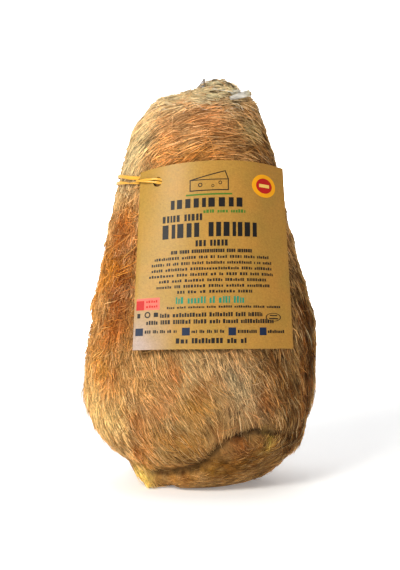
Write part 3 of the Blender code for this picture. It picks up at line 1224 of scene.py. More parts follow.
    def finish(self, geometry: bpy.types.NodeSocket) -> None:
        """Give each strand its own cell of the UV map, smooth it and set its finish.

        Args:
            geometry: The bent strands.
        """
        cells, cell = self.given["Cells"], self.named("cell")
        row = self.math("FLOOR", self.math("DIVIDE", self.plus(cell, 0.5), cells))
        column = self.math("SUBTRACT", cell, self.times(row, cells))
        uv = self.vector("ADD", self.joined(column, row), self.named_vector("strand_uv"))
        share = self.math("DIVIDE", 1.0, cells)
        mapped = self.store(geometry, "OFBake", self.scaled(uv, share), "FLOAT2", "CORNER")
        for name in ("away", "beside", "rising", "reach", "bend", "drop", "cell", "strand_uv", "lay", "lean"):
            inputs = {"Geometry": mapped, "Name": name}
            mapped = self.add("GeometryNodeRemoveAttribute", None, inputs).outputs[0]
        smooth = self.add("GeometryNodeSetShadeSmooth", None, {"Geometry": mapped}).outputs[0]
        inputs = {"Geometry": smooth, "Material": self.given["Finish"]}
        done = self.add("GeometryNodeSetMaterial", None, inputs).outputs[0]
        self.add("NodeGroupOutput", None, {"Geometry": done})


@dataclass(frozen=True)
class HairKind:
    """One kind of hair: how many strands, their size and how they lie."""

    name: str
    strands: int
    length: float
    finish: HairFinish
    seed: int
    thickness: float = 0.028
    spread: float = 0.3
    lift: float = 0.3
    wander: float = 0.22
    droop: float = 0.26
    curl: float = 0.12
    wave: float = 1.0
    wave_size: float = 7.0
    segments: int = 3

    def grow(self, skin: HideSkin, tree: HairTree, cover: np.ndarray) -> bpy.types.Object:
        """Grow this kind of hair on the hide.

        Args:
            skin: The hide.
            tree: The geometry tree that grows hair.
            cover: How thickly it grows at each point, from 0 to 1.

        Returns:
            The hair.
        """
        skin.set_numbers(f"cover_{self.name}", cover)
        made = new_object(self.name, skin.object.data.copy(), self.finish.make())
        grower = made.modifiers.new("hair", "NODES")
        grower.node_group = tree.tree
        area = self.grown_area(made.data, cover)
        values = {
            "Cover": f"cover_{self.name}",
            "Seed": self.seed,
            "Segments": self.segments,
            "Cells": float(math.ceil(math.sqrt(self.strands * 1.04))),
            "Strands": self.strands / area,
            "Finish": made.data.materials[0],
        }
        for name in HairTree.SIZES:
            values[name] = getattr(self, name.lower().replace(" ", "_"))
        for item in tree.tree.interface.items_tree:
            if item.in_out == "INPUT" and item.name in values:
                grower[item.identifier] = values[item.name]
        plain_mesh(made)
        return made

    def grown_area(self, mesh: bpy.types.Mesh, cover: np.ndarray) -> float:
        """Area of the hide weighted by the cover.

        Args:
            mesh: The hide's mesh.
            cover: The cover at each point.

        Returns:
            The area in square metres.
        """
        areas = np.empty(len(mesh.polygons))
        mesh.polygons.foreach_get("area", areas)
        corners = np.empty(len(mesh.loops), np.int64)
        mesh.loops.foreach_get("vertex_index", corners)
        starts = np.empty(len(mesh.polygons), np.int64)
        mesh.polygons.foreach_get("loop_start", starts)
        counts = np.diff(np.append(starts, len(corners)))
        return float((areas * np.add.reduceat(cover[corners], starts) / counts).sum())


@dataclass
class KraftCard:
    """The card: its curved face read from the solid, a thin body with a punched hole."""

    wide: float = 100.0
    thick: float = 0.5
    hole_diameter: float = 6.0
    hole_left: float = 12.6
    hole_top: float = 9.0
    columns: int = 64
    rows: int = 48
    buckle: float = 0.22
    beside: float = 0.02
    hole_sides: int = 40
    cut_depth: float = 4.0
    turn_left: float = -66.0
    turn_right: float = 80.0
    looks: int = 440
    far: float = 95.0
    beyond: float = 12.0
    apart: float = 0.15
    smoothings: int = 10
    stops: int = 121
    top: np.ndarray = field(default=None, init=False)
    bottom: np.ndarray = field(default=None, init=False)
    tall: float = field(default=0.0, init=False)

    def read(self) -> None:
        """Read the face's upper and lower edges from the solid."""
        tree = solid_tree("card")
        low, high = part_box("card")
        self.top = self.edge(tree, high.z + self.beyond * MM)
        self.bottom = self.edge(tree, low.z - self.beyond * MM)
        upper, lower = self.top[len(self.top) // 2], self.bottom[len(self.bottom) // 2]
        self.tall = float(np.linalg.norm(upper - lower)) / MM

    def edge(self, tree: BVHTree, height: float) -> np.ndarray:
        """Points evenly spaced along the edge of the face that is nearest to a height.

        Args:
            tree: The solid.
            height: A height beyond the edge, in metres.

        Returns:
            The points from left to right.
        """
        found = []
        for turn in np.linspace(self.turn_left, self.turn_right, self.looks):
            way = math.radians(float(turn))
            guess = Vector((math.sin(way), -math.cos(way), 0.0)) * self.far * MM
            guess.z = height
            point = tree.find_nearest(guess)[0]
            if not found or (point - found[-1]).length > self.apart * MM:
                found.append(point)
        line = np.array(found)
        for _ in range(self.smoothings):
            line[1:-1] = (line[:-2] + line[1:-1] * 2 + line[2:]) / 4
        run = np.concatenate([[0.0], np.cumsum(np.linalg.norm(np.diff(line, axis=0), axis=1))])
        places = np.linspace(0.0, run[-1], self.stops)
        return np.stack([np.interp(places, run, line[:, k]) for k in range(3)], axis=1)

    def face_point(self, across: float, down: float) -> Vector:
        """Point on the smooth face.

        Args:
            across: Share of the width from the left edge.
            down: Share of the height from the top edge.

        Returns:
            The point in metres.
        """
        place = min(max(across, 0.0), 1.0) * (len(self.top) - 1)
        i = min(int(place), len(self.top) - 2)
        t = place - i
        upper = self.top[i] * (1 - t) + self.top[i + 1] * t
        lower = self.bottom[i] * (1 - t) + self.bottom[i + 1] * t
        return Vector(upper * (1 - down) + lower * down)

    def outward(self, across: float, down: float) -> Vector:
        """Direction that the face looks in.

        Args:
            across: Share of the width from the left edge.
            down: Share of the height from the top edge.

        Returns:
            A unit vector.
        """
        left = self.face_point(max(across - self.beside, 0.0), down)
        right = self.face_point(min(across + self.beside, 1.0), down)
        below = self.face_point(across, 1.0) - self.face_point(across, 0.0)
        return below.cross(right - left).normalized()

    def place(self, right: float, down: float, proud: float = 0.0) -> Vector:
        """Point on the buckled face, or proud of it.

        Args:
            right: Millimetres right of the left edge.
            down: Millimetres below the top edge.
            proud: Millimetres out of the face.

        Returns:
            The point in metres.
        """
        across, below = right / self.wide, down / self.tall
        edge = math.sin(math.pi * min(max(across, 0.0), 1.0)) * math.sin(math.pi * min(max(below, 0.0), 1.0))
        wave = noise.noise(Vector((across * 2.6, below * 2.2, 4.3))) * self.buckle * edge
        return self.face_point(across, below) + self.outward(across, below) * (wave + proud) * MM

    def build(self, finish: KraftFinish) -> bpy.types.Object:
        """Make the card.

        Args:
            finish: The card's finish.

        Returns:
            The card.
        """
        points = []
        for proud in (0.0, -self.thick):
            for row in range(self.rows + 1):
                down = self.tall * row / self.rows
                for column in range(self.columns + 1):
                    points.append(self.place(self.wide * column / self.columns, down, proud))
        faces = slab_faces(self.rows + 1, self.columns + 1)
        made = new_object("kraft_card", mesh_of("kraft_card", points, faces), finish.make())
        self.punch(made)
        made.data.set_sharp_from_angle(angle=math.radians(40.0))
        return made

    def punch(self, made: bpy.types.Object) -> None:
        """Cut the round hole.

        Args:
            made: The card.
        """
        middle = self.place(self.hole_left, self.hole_top)
        outward = self.outward(self.hole_left / self.wide, self.hole_top / self.tall)
        turn = outward.to_track_quat("Z", "Y").to_matrix().to_4x4()
        shape = bmesh.new()
        bmesh.ops.create_cone(
            shape,
            cap_ends=True,
            segments=self.hole_sides,
            radius1=self.hole_diameter / 2 * MM,
            radius2=self.hole_diameter / 2 * MM,
            depth=self.cut_depth * MM,
            matrix=Matrix.Translation(middle) @ turn,
        )
        mesh = bpy.data.meshes.new("punch")
        shape.to_mesh(mesh)
        shape.free()
        cutter = new_object("punch", mesh, made.data.materials[0])
        cut = made.modifiers.new("hole", "BOOLEAN")
        cut.operation = "DIFFERENCE"
        cut.solver = "EXACT"
        cut.object = cutter
        plain_mesh(made)
        bpy.data.objects.remove(cutter, do_unlink=True)


class Ink(Enum):
    """Inks of the card's print, with the height each is laid to in millimetres."""

    BLACK = ("print_black", Tone.INK, 0.07)
    GREEN = ("print_green", Tone.LEAF, 0.07)
    TEAL = ("print_teal", Tone.TEAL, 0.07)
    NAVY = ("print_navy", Tone.NAVY, 0.07)
    PINK = ("print_pink", Tone.PINK, 0.06)
    YELLOW = ("seal_yellow", Tone.SUNNY, 0.09)
    RED = ("print_red", Tone.SIGNAL, 0.12)
    PALE = ("seal_bar", Tone.BLOND, 0.15)


@dataclass
class InkLayer:
    """All shapes in one ink: thin closed slabs that follow the card."""

    ink: Ink
    sink: float = 0.05
    step: float = 2.0
    sides: int = 40
    places: list = field(default_factory=list)
    faces: list = field(default_factory=list)

    def grid(self, rows: list, wrap: bool = False, filled: bool = False) -> None:
        """Add a slab from rows of places.

        Args:
            rows: Rows of places on the card, right of its left edge and below its top edge.
            wrap: True where each row closes on itself.
            filled: True to close the first row with one face.
        """
        high, wide = len(rows), len(rows[0])
        first = len(self.places)
        for level in (self.ink.value[2], -self.sink):
            self.places += [(right, down, level) for row in rows for right, down in row]
        self.faces += slab_faces(high, wide, first, wrap, filled)

    def bar(self, left: float, top: float, right: float, low: float) -> None:
        """Add a plain bar.

        Args:
            left: Its left end.
            top: Its upper edge.
            right: Its right end.
            low: Its lower edge.
        """
        count = max(1, math.ceil((right - left) / self.step))
        tall = max(1, math.ceil((low - top) / self.step))
        self.grid([
            [(left + (right - left) * i / count, top + (low - top) * j / tall) for i in range(count + 1)]
            for j in range(tall + 1)
        ])

    def oval(self, middle: tuple, half_wide: float, half_tall: float, inner: float = 0.0) -> None:
        """Add a disc or a ring.

        Args:
            middle: Its middle.
            half_wide: Half its width.
            half_tall: Half its height.
            inner: Size of the hole as a share, or 0 for a disc.
        """
        shares = [inner, 1.0] if inner else [0.12, 0.4, 0.7, 1.0]
        turns = [math.tau * i / self.sides for i in range(self.sides)]
        x, y = middle
        rows = [
            [(x + half_wide * r * math.cos(a), y + half_tall * r * math.sin(a)) for a in turns]
            for r in shares
        ]
        self.grid(rows, wrap=True, filled=not inner)

    def stroke(self, points: list, width: float) -> None:
        """Add a line with square corners.

        Args:
            points: Its corners.
            width: Its width.
        """
        for (x0, y0), (x1, y1) in zip(points[:-1], points[1:]):
            along = Vector((x1 - x0, y1 - y0)).normalized() * width / 2
            side = Vector((-along.y, along.x))
            count = max(1, math.ceil(math.hypot(x1 - x0, y1 - y0) / self.step))
            rows = []
            for sign in (1.0, -1.0):
                row = []
                for i in range(count + 1):
                    share = i / count
                    reach = along * (1 if i == count else -1 if i == 0 else 0)
                    place = Vector((x0 + (x1 - x0) * share, y0 + (y1 - y0) * share)) + side * sign + reach
                    row.append(tuple(place))
                rows.append(row)
            self.grid(rows)

    def words(
        self,
        left: float,
        right: float,
        top: float,
        tall: float,
        counts: tuple[int, ...],
        block: float,
        low: float = 0.4,
    ) -> None:
        """Add a line of plain upright blocks in groups, as long as a line of words.

        Args:
            left: The line's left end.
            right: Its right end.
            top: Its upper edge.
            tall: Height of the blocks.
            counts: Number of blocks in each group.
            block: Width of a block as a share of its pitch.
            low: Share of the blocks that are lower than the rest.
        """
        draw = random.Random(int(left * 10 + top * 100))
        widths = []
        for count in counts:
            widths += [draw.choice((0.75, 1.0, 1.0, 1.25)) for _ in range(count)] + [-0.9]
        widths.pop()
        pitch = (right - left) / sum(abs(w) for w in widths)
        here = left
        for width in widths:
            if width > 0:
                rise = 0.0 if draw.random() > low else tall * 0.22
                self.bar(here, top + rise, here + width * pitch * block, top + tall)
            here += abs(width) * pitch

    def build(self, card: KraftCard) -> bpy.types.Object:
        """Make the layer.

        Args:
            card: The card it is printed on.

        Returns:
            The layer.
        """
        name, tone, _ = self.ink.value
        points = [card.place(*place) for place in self.places]
        mesh = mesh_of(name, points, self.faces)
        mesh.set_sharp_from_angle(angle=math.radians(50.0))
        return new_object(name, mesh, InkFinish(name, tone).make())


@dataclass
class Print:
    """The card's print: plain blocks and bars where it has words, and plain shapes for its signs."""

    card: KraftCard
    layers: dict = field(default_factory=lambda: {ink: InkLayer(ink) for ink in Ink})

    def heading(self) -> None:
        """Lay out the cheese wedge, the name's bar and the title."""
        black, green = self.layers[Ink.BLACK], self.layers[Ink.GREEN]
        wedge = [(33.0, 18.0), (33.0, 11.5), (54.0, 6.5), (56.0, 11.5), (56.0, 18.0), (33.0, 18.0)]
        black.stroke(wedge, 0.6)
        black.stroke([(33.0, 11.5), (56.0, 11.5)], 0.5)
        for middle, size in (((39.0, 14.6), 1.3), ((46.5, 15.4), 0.9), ((51.0, 13.6), 1.1)):
            black.oval(middle, size, size, 0.6)
        green.bar(30.5, 20.0, 58.5, 20.9)
        black.words(21.5, 67.5, 22.6, 5.6, (9,), 0.62, 0.0)
        green.words(41.0, 67.5, 29.8, 2.0, (4, 4, 6), 0.7)
        black.words(16.6, 41.0, 31.9, 4.1, (5, 5), 0.66, 0.0)
        black.words(16.6, 76.6, 37.4, 8.6, (5, 7), 0.66, 0.0)
        black.words(36.5, 56.5, 48.0, 3.7, (3, 5), 0.66, 0.0)

    def small_words(self) -> None:
        """Lay out the rows of small words."""
        black = self.layers[Ink.BLACK]
        black.words(22.0, 71.5, 53.5, 2.1, (3, 5, 15, 5, 7), 0.76, 0.0)
        rows = (
            (12.0, 84.0, (11, 6, 4, 2, 4, 5, 5, 6)),
            (10.2, 86.0, (6, 2, 3, 4, 5, 9, 11, 1, 2, 5)),
            (10.2, 86.0, (5, 9, 19, 5, 8)),
            (8.8, 86.8, (9, 4, 7, 2, 2, 4, 3, 4, 6)),
            (15.0, 81.5, (4, 4, 7, 6, 8, 9)),
            (13.5, 84.0, (7, 3, 8, 6, 7, 11)),
            (26.0, 71.5, (3, 3, 2, 9, 6)),
        )
        for i, (left, right, counts) in enumerate(rows):
            black.words(left, right, 57.3 + 3.42 * i, 1.7, counts, 0.66)
        self.layers[Ink.TEAL].words(25.2, 66.5, 81.6, 4.0, (3, 6, 2, 4, 4), 0.62)
        black.words(20.0, 91.5, 87.1, 1.3, (4, 4, 8, 5, 6, 9, 6, 8), 0.7)
        black.words(16.0, 78.0, 91.0, 2.5, (4, 12, 9, 4, 7), 0.7)
        black.words(7.8, 86.0, 95.0, 2.5, (5, 4, 7, 5, 4, 6, 14), 0.7)
        black.words(25.5, 67.5, 106.0, 3.1, (3, 9, 3, 2), 0.72)

    def signs(self) -> None:
        """Lay out the seal and the small signs."""
        self.layers[Ink.YELLOW].oval((81.9, 14.2), 9.8, 7.15)
        self.layers[Ink.RED].oval((81.9, 14.2), 6.7, 4.7)
        self.layers[Ink.PALE].bar(77.6, 13.2, 86.2, 15.2)
        self.layers[Ink.PINK].bar(1.4, 81.2, 15.6, 88.4)
        self.layers[Ink.RED].bar(1.4, 82.6, 6.2, 88.4)
        self.layers[Ink.RED].words(7.4, 14.6, 82.6, 1.5, (5,), 0.7)
        self.layers[Ink.RED].words(7.4, 14.6, 85.6, 1.5, (5,), 0.7)
        black, navy = self.layers[Ink.BLACK], self.layers[Ink.NAVY]
        black.bar(2.2, 90.4, 4.0, 93.2)
        black.oval((8.4, 91.4), 1.8, 1.9, 0.6)
        black.bar(12.2, 90.2, 14.8, 92.8)
        black.oval((85.6, 93.9), 5.6, 2.5, 0.88)
        black.bar(83.0, 92.6, 88.4, 93.2)
        black.bar(82.4, 94.4, 89.0, 95.1)
        long, short = (3, 3, 3, 2, 2), (9,)
        squares = (
            (1.4, 104.0, 26.2, long),
            (29.0, 104.4, 54.0, long),
            (56.1, 104.6, 74.0, short),
            (75.6, 104.6, 93.6, short),
        )
        for left, low, right, counts in squares:
            navy.bar(left, low - 4.6, left + 4.6, low)
            black.words(left + 5.6, right, low - 3.2, 1.9, counts, 0.7)

    def build(self) -> list[bpy.types.Object]:
        """Lay out and make every layer.

        Returns:
            The layers.
        """
        self.heading()
        self.small_words()
        self.signs()
        return [layer.build(self.card) for layer in self.layers.values()]


@dataclass
class Elastic:
    """The golden elastic, two windings with softly rounded edges, wider where they lie in the hole."""

    hole: Vector
    levels: int = 2
    reach: float = 5.5
    widen: float = 0.4
    raise_by: float = 0.4
    unevenness: float = 0.22
    climb: float = 0.05
    drawn_from: float = -50.0
    drawn_fade: float = 7.0
    hole_fade: float = 12.0
    half_gap: float = 1.2
    front_reach: float = 30.0
    grain: float = 3.0
    draw: float = 0.9

    def build(self, finish: ElasticFinish) -> bpy.types.Object:
        """Make the elastic from the solid's form.

        Args:
            finish: Its finish.

        Returns:
            The elastic.
        """
        made = softened("band", "elastic", self.levels, finish.make())
        places, normals = mesh_arrays(made.data)
        near = np.exp(-(np.linalg.norm(places - np.array(self.hole), axis=1) / (self.reach * MM)) ** 2)
        places[:, 2] += (places[:, 2] - self.hole.z) * self.widen * near + self.raise_by * near * MM
        middle = self.hole.z + (self.hole.x - places[:, 0]) * self.climb
        drawn = ramp(places[:, 0] / MM, self.drawn_from, self.drawn_fade)
        drawn *= places[:, 1] < self.hole.y + self.front_reach * MM
        drawn *= ramp(places[:, 0], self.hole.x, -self.hole_fade * MM)
        drawn *= ramp(np.abs(places[:, 2] - middle), 0.0, self.half_gap * MM)
        places[:, 2] -= np.sign(places[:, 2] - middle) * drawn * self.draw * MM
        uneven = np.array([noise.noise(Vector(place) / (self.grain * MM)) for place in places])
        places += normals * (uneven * self.unevenness * MM)[:, None]
        put_points(made, places)
        return made


@dataclass
class NeckStrip:
    """The cut strip of white hide, with torn fibres and a rough cut end."""

    levels: int = 3
    ruffle: float = 0.6
    fibre_size: float = 1.1
    fibre_draw: tuple[float, float] = (0.25, 0.5)
    thin_end: float = 0.6
    thicker: float = 0.25
    slant: float = 4.6
    lifted: float = 0.8
    length: float = 0.9

    def build(self, finish: StripFinish) -> bpy.types.Object:
        """Make the strip from the solid's form.

        Args:
            finish: Its finish.

        Returns:
            The strip.
        """
        made = softened("neck_strip", "white_strip", self.levels, finish.make())
        places, normals = mesh_arrays(made.data)
        a, b = self.fibre_draw
        ruffle = [noise.noise(Vector((x * a, y * b, z)) / (self.fibre_size * MM)) for x, y, z in places]
        places += normals * (np.array(ruffle) * self.ruffle * MM)[:, None]
        low, high = places.min(axis=0), places.max(axis=0)
        share = (places[:, 0] - low[0]) / (high[0] - low[0])
        middle = (low[2] + high[2]) / 2
        thickness = self.thin_end + self.thicker * np.clip(share * 2.0, 0.0, 1.0)
        places[:, 2] = middle + (places[:, 2] - middle) * thickness
        places[:, 2] += ((share - 0.5) * self.slant + self.lifted) * MM
        places[:, 0] = (low[0] + high[0]) / 2 + (places[:, 0] - (low[0] + high[0]) / 2) * self.length
        put_points(made, places)
        return made


@dataclass(frozen=True)
class Lamp:
    """Soft square light: its place and aim, the length of its side, and its power in watts."""

    name: str
    place: tuple[float, float, float]
    size: float
    power: float
    colour: tuple[float, float, float] = (1.0, 1.0, 1.0)
    aim: tuple[float, float, float] = (0.0, 0.0, 120.0)


@dataclass
class Studio:
    """Pale floor that sweeps up behind, soft lights and the camera."""

    eye_height: float = 124.5
    distance: float = 650.0
    lens: float = 64.1
    floor_reach: float = 1600.0
    sweep: float = 700.0
    sky: float = 0.29
    lamps: tuple[Lamp, ...] = (
        Lamp("key", (-470.0, -800.0, 600.0), 380.0, 11.3, (1.0, 0.97, 0.90)),
        Lamp("fill", (500.0, -900.0, 300.0), 700.0, 1.0, (0.95, 0.98, 1.0)),
        Lamp("top", (-100.0, 100.0, 1100.0), 700.0, 3.0),
        Lamp("backdrop", (0.0, 1150.0, 900.0), 1200.0, 60.0, aim=(0.0, 2300.0, 500.0)),
    )

    def floor(self) -> bpy.types.Object:
        """Make the floor and the wall it curves into.

        Returns:
            The floor.
        """
        outline = [(-self.floor_reach, 0.0)]
        outline += [
            (self.floor_reach + self.sweep * math.sin(a), self.sweep * (1 - math.cos(a)))
            for a in np.linspace(0.0, math.pi / 2, 24)
        ]
        outline.append((self.floor_reach + self.sweep, self.sweep * 4))
        sides = (-self.floor_reach * 2, self.floor_reach * 2)
        points = [Vector((x, y, z)) * MM for y, z in outline for x in sides]
        faces = [(i * 2, i * 2 + 1, i * 2 + 3, i * 2 + 2) for i in range(len(outline) - 1)]
        paint = PlainFinish("floor_paint", (0.92, 0.92, 0.92))
        return new_object("floor", mesh_of("floor", points, faces), paint.make())

    def light(self, lamp: Lamp) -> None:
        """Add a light.

        Args:
            lamp: The light's sizes.
        """
        data = bpy.data.lights.new(lamp.name, "AREA")
        data.shape = "SQUARE"
        data.size = lamp.size * MM
        data.energy = lamp.power
        data.color = lamp.colour
        made = bpy.data.objects.new(lamp.name, data)
        made.location = Vector(lamp.place) * MM
        made.rotation_euler = (Vector(lamp.aim) - Vector(lamp.place)).to_track_quat("-Z", "Y").to_euler()
        bpy.context.scene.collection.objects.link(made)

    def camera(self) -> None:
        """Set the camera level, in front of the card."""
        data = bpy.data.cameras.new("camera")
        data.lens = self.lens
        made = bpy.data.objects.new("camera", data)
        made.location = Vector((0.0, -self.distance, self.eye_height)) * MM
        made.rotation_euler = (math.radians(90.0), 0.0, 0.0)
        bpy.context.scene.collection.objects.link(made)
        bpy.context.scene.camera = made

    def build(self) -> None:
        """Set up the whole studio."""
        scene = bpy.context.scene
        scene.view_settings.view_transform = "Standard"
        world = bpy.data.worlds.new("studio")
        world.use_nodes = True
        backdrop = world.node_tree.nodes["Background"].inputs
        backdrop["Color"].default_value = (1.0, 1.0, 1.0, 1.0)
        backdrop["Strength"].default_value = self.sky
        scene.world = world
        self.floor()
        for lamp in self.lamps:
            self.light(lamp)
        self.camera()


PATCHES = (
    Patch(-10.0, 240.0, 40.0, 12.0, Tone.CREAM, 0.9),
    Patch(12.0, 250.0, 16.0, 8.0, Tone.GREY_CREAM, 0.95),
    Patch(-8.0, 247.0, 9.0, 5.0, Tone.WHITE, 0.5),
    Patch(-20.0, 230.0, 22.0, 8.0, Tone.PEACH, 0.7),
    Patch(26.0, 239.0, 9.0, 6.0, Tone.BROWN, 0.8),
    Patch(31.0, 238.0, 6.0, 5.0, Tone.MUSTARD, 0.7),
    Patch(24.0, 231.0, 15.0, 8.0, Tone.DUSTY, 0.8),
    Patch(26.0, 234.0, 8.0, 6.0, Tone.BROWN, 0.65),
    Patch(25.0, 228.5, 8.0, 6.0, Tone.BROWN, 0.45),
    Patch(-34.0, 214.0, 17.0, 22.0, Tone.PALE_STRAW, 0.95),
    Patch(-45.0, 196.0, 11.0, 22.0, Tone.GREY_CREAM, 0.95),
    Patch(0.0, 218.0, 20.0, 13.0, Tone.PINK_TAN, 0.9),
    Patch(-10.0, 208.0, 17.0, 11.0, Tone.ORANGE, 0.95),
    Patch(-9.0, 211.0, 7.0, 6.0, Tone.CREAM, 0.55),
    Patch(-12.0, 205.0, 9.0, 6.0, Tone.PEACH, 0.6),
    Patch(-16.0, 221.0, 7.0, 5.0, Tone.RUST, 0.3),
    Patch(-12.0, 202.0, 12.0, 6.0, Tone.ORANGE, 0.75),
    Patch(6.0, 203.0, 12.0, 4.0, Tone.ORANGE, 0.6),
    Patch(2.0, 227.0, 9.0, 4.0, Tone.RUST, 0.35),
    Patch(15.0, 210.0, 15.0, 12.0, Tone.BROWN, 0.6),
    Patch(34.0, 208.0, 12.0, 17.0, Tone.BROWN, 0.65),
    Patch(28.0, 221.0, 8.0, 7.0, Tone.GREY_GREEN, 0.9),
    Patch(42.0, 205.0, 9.0, 26.0, Tone.UMBER, 0.7),
    Patch(-48.0, 178.0, 14.0, 9.0, Tone.STRAW, 0.7),
    Patch(-43.0, 174.0, 7.0, 8.0, Tone.GOLD, 0.6),
    Patch(-48.0, 158.0, 12.0, 18.0, Tone.RUST, 0.9),
    Patch(-57.0, 134.0, 12.0, 13.0, Tone.HONEY, 0.9),
    Patch(-48.0, 116.0, 9.0, 13.0, Tone.DEEP_RUST, 0.85),
    Patch(-46.0, 132.0, 9.0, 22.0, Tone.DEEP_RUST, 0.95),
    Patch(-52.0, 140.0, 7.0, 6.0, Tone.AMBER, 0.7),
    Patch(-66.0, 112.0, 8.0, 24.0, Tone.HONEY, 0.85),
    Patch(-51.0, 100.0, 12.0, 10.0, Tone.RUST, 0.85),
    Patch(-61.0, 76.0, 13.0, 13.0, Tone.GOLD, 0.9),
    Patch(-48.0, 57.0, 6.0, 6.0, Tone.BUTTER, 0.5),
    Patch(-53.0, 68.0, 8.0, 9.0, Tone.RUST, 0.7),
    Patch(-66.0, 54.0, 12.0, 17.0, Tone.BUTTER, 0.95),
    Patch(-50.0, 55.0, 7.0, 9.0, Tone.BUTTER, 0.8),
    Patch(-49.0, 58.0, 5.0, 6.0, Tone.GOLD, 0.9),
    Patch(-56.0, 43.0, 13.0, 9.0, Tone.BUTTER, 0.9),
    Patch(-38.0, 46.0, 6.0, 11.0, Tone.RUST, 0.6),
    Patch(-37.0, 28.0, 6.0, 12.0, Tone.RUST, 0.7),
    Patch(-30.0, 68.0, 16.0, 16.0, Tone.TAN, 0.9),
    Patch(-8.0, 76.0, 7.0, 9.0, Tone.PALE_STRAW, 0.7),
    Patch(-20.0, 54.0, 14.0, 14.0, Tone.PINK_TAN, 0.6),
    Patch(-18.0, 76.0, 5.0, 7.0, Tone.RUST, 0.7),
    Patch(-5.0, 56.0, 12.0, 12.0, Tone.MUSTARD, 0.7),
    Patch(-1.0, 65.0, 6.0, 4.0, Tone.DEEP_RUST, 0.6),
    Patch(7.0, 44.0, 5.0, 5.0, Tone.UMBER, 0.7),
    Patch(-12.0, 32.0, 16.0, 11.0, Tone.MUSTARD, 0.6),
    Patch(-16.0, 46.0, 9.0, 6.0, Tone.GREY_GREEN, 0.7),
    Patch(-12.0, 38.0, 9.0, 6.0, Tone.BROWN, 0.35),
    Patch(13.0, 80.0, 16.0, 8.0, Tone.DUSTY, 0.8),
    Patch(22.0, 66.0, 14.0, 18.0, Tone.DUSTY, 0.9),
    Patch(31.0, 55.0, 12.0, 14.0, Tone.DUSTY, 0.7),
    Patch(20.0, 70.0, 8.0, 12.0, Tone.GREY_CREAM, 0.5),
    Patch(39.0, 60.0, 7.0, 7.0, Tone.RUST, 0.7),
    Patch(42.0, 79.0, 9.0, 11.0, Tone.BROWN, 0.85),
    # Painted shadow: the card's shadow on the coat below its lower right corner.
    Patch(46.0, 84.0, 9.0, 7.0, Tone.UMBER, 0.9),
    Patch(30.0, 85.0, 9.0, 3.5, Tone.BROWN, 0.6),
    # Painted shadow: more of the card's shadow below its lower right corner.
    Patch(46.0, 83.0, 10.0, 6.0, Tone.BARK, 0.6),
    Patch(46.0, 67.0, 9.0, 10.0, Tone.BROWN, 0.5),
    Patch(54.0, 56.0, 9.0, 24.0, Tone.UMBER, 0.75),
    # Right edge: the umber patches are partly the coat's own dark brown and partly painted shade.
    Patch(66.0, 80.0, 11.0, 70.0, Tone.UMBER, 0.95),
    Patch(61.0, 116.0, 9.0, 34.0, Tone.UMBER, 0.9),
    # Painted shade on the right edge.
    Patch(61.0, 108.0, 9.0, 24.0, Tone.BARK, 0.5),
    Patch(62.0, 62.0, 3.5, 26.0, Tone.RUST, 0.5),
    Patch(46.0, 64.0, 9.0, 12.0, Tone.UMBER, 0.35),
    # Painted shade along the right edge.
    Patch(69.0, 80.0, 6.0, 60.0, Tone.BARK, 0.75),
    Patch(18.0, 17.0, 30.0, 9.0, Tone.OLIVE, 0.9),
    Patch(22.0, 30.0, 9.0, 5.0, Tone.DEEP_RUST, 0.8),
    Patch(6.0, 14.0, 8.0, 4.0, Tone.MUSTARD, 0.6),
    Patch(-14.0, 8.0, 18.0, 6.0, Tone.HONEY, 0.6),
    Patch(36.0, 27.0, 9.0, 8.0, Tone.OLIVE, 0.85),
    # Painted highlight: a bright yellow streak on the flap.
    Patch(40.0, 31.0, 3.6, 7.0, Tone.YELLOW, 0.8),
    # Painted shade along the fold's crease.
    Patch(-6.0, 22.0, 14.0, 4.0, Tone.UMBER, 0.55),
    Patch(-33.0, 16.0, 6.0, 5.0, Tone.HONEY, 0.6),
    Patch(-35.0, 7.5, 8.0, 8.0, Tone.YELLOW, 0.98),
    # Painted shade: the deep shade on the flap at the lower right.
    Patch(56.0, 30.0, 11.0, 14.0, Tone.BARK, 0.95),
    Patch(0.0, 228.0, 34.0, 16.0, Tone.STRAW, 0.7, Side.BACK),
    Patch(-30.0, 190.0, 24.0, 22.0, Tone.STRAW, 0.7, Side.BACK),
    Patch(20.0, 185.0, 20.0, 26.0, Tone.RUST, 0.7, Side.BACK),
    Patch(-10.0, 140.0, 26.0, 20.0, Tone.HONEY, 0.7, Side.BACK),
    Patch(30.0, 110.0, 20.0, 30.0, Tone.BROWN, 0.7, Side.BACK),
    Patch(-40.0, 90.0, 22.0, 24.0, Tone.GOLD, 0.8, Side.BACK),
    Patch(-5.0, 75.0, 16.0, 16.0, Tone.RUST, 0.6, Side.BACK),
    Patch(30.0, 50.0, 24.0, 18.0, Tone.DUSTY, 0.7, Side.BACK),
    Patch(-30.0, 35.0, 26.0, 14.0, Tone.STRAW, 0.7, Side.BACK),
    Patch(10.0, 12.0, 40.0, 9.0, Tone.OLIVE, 0.8, Side.BACK),
)

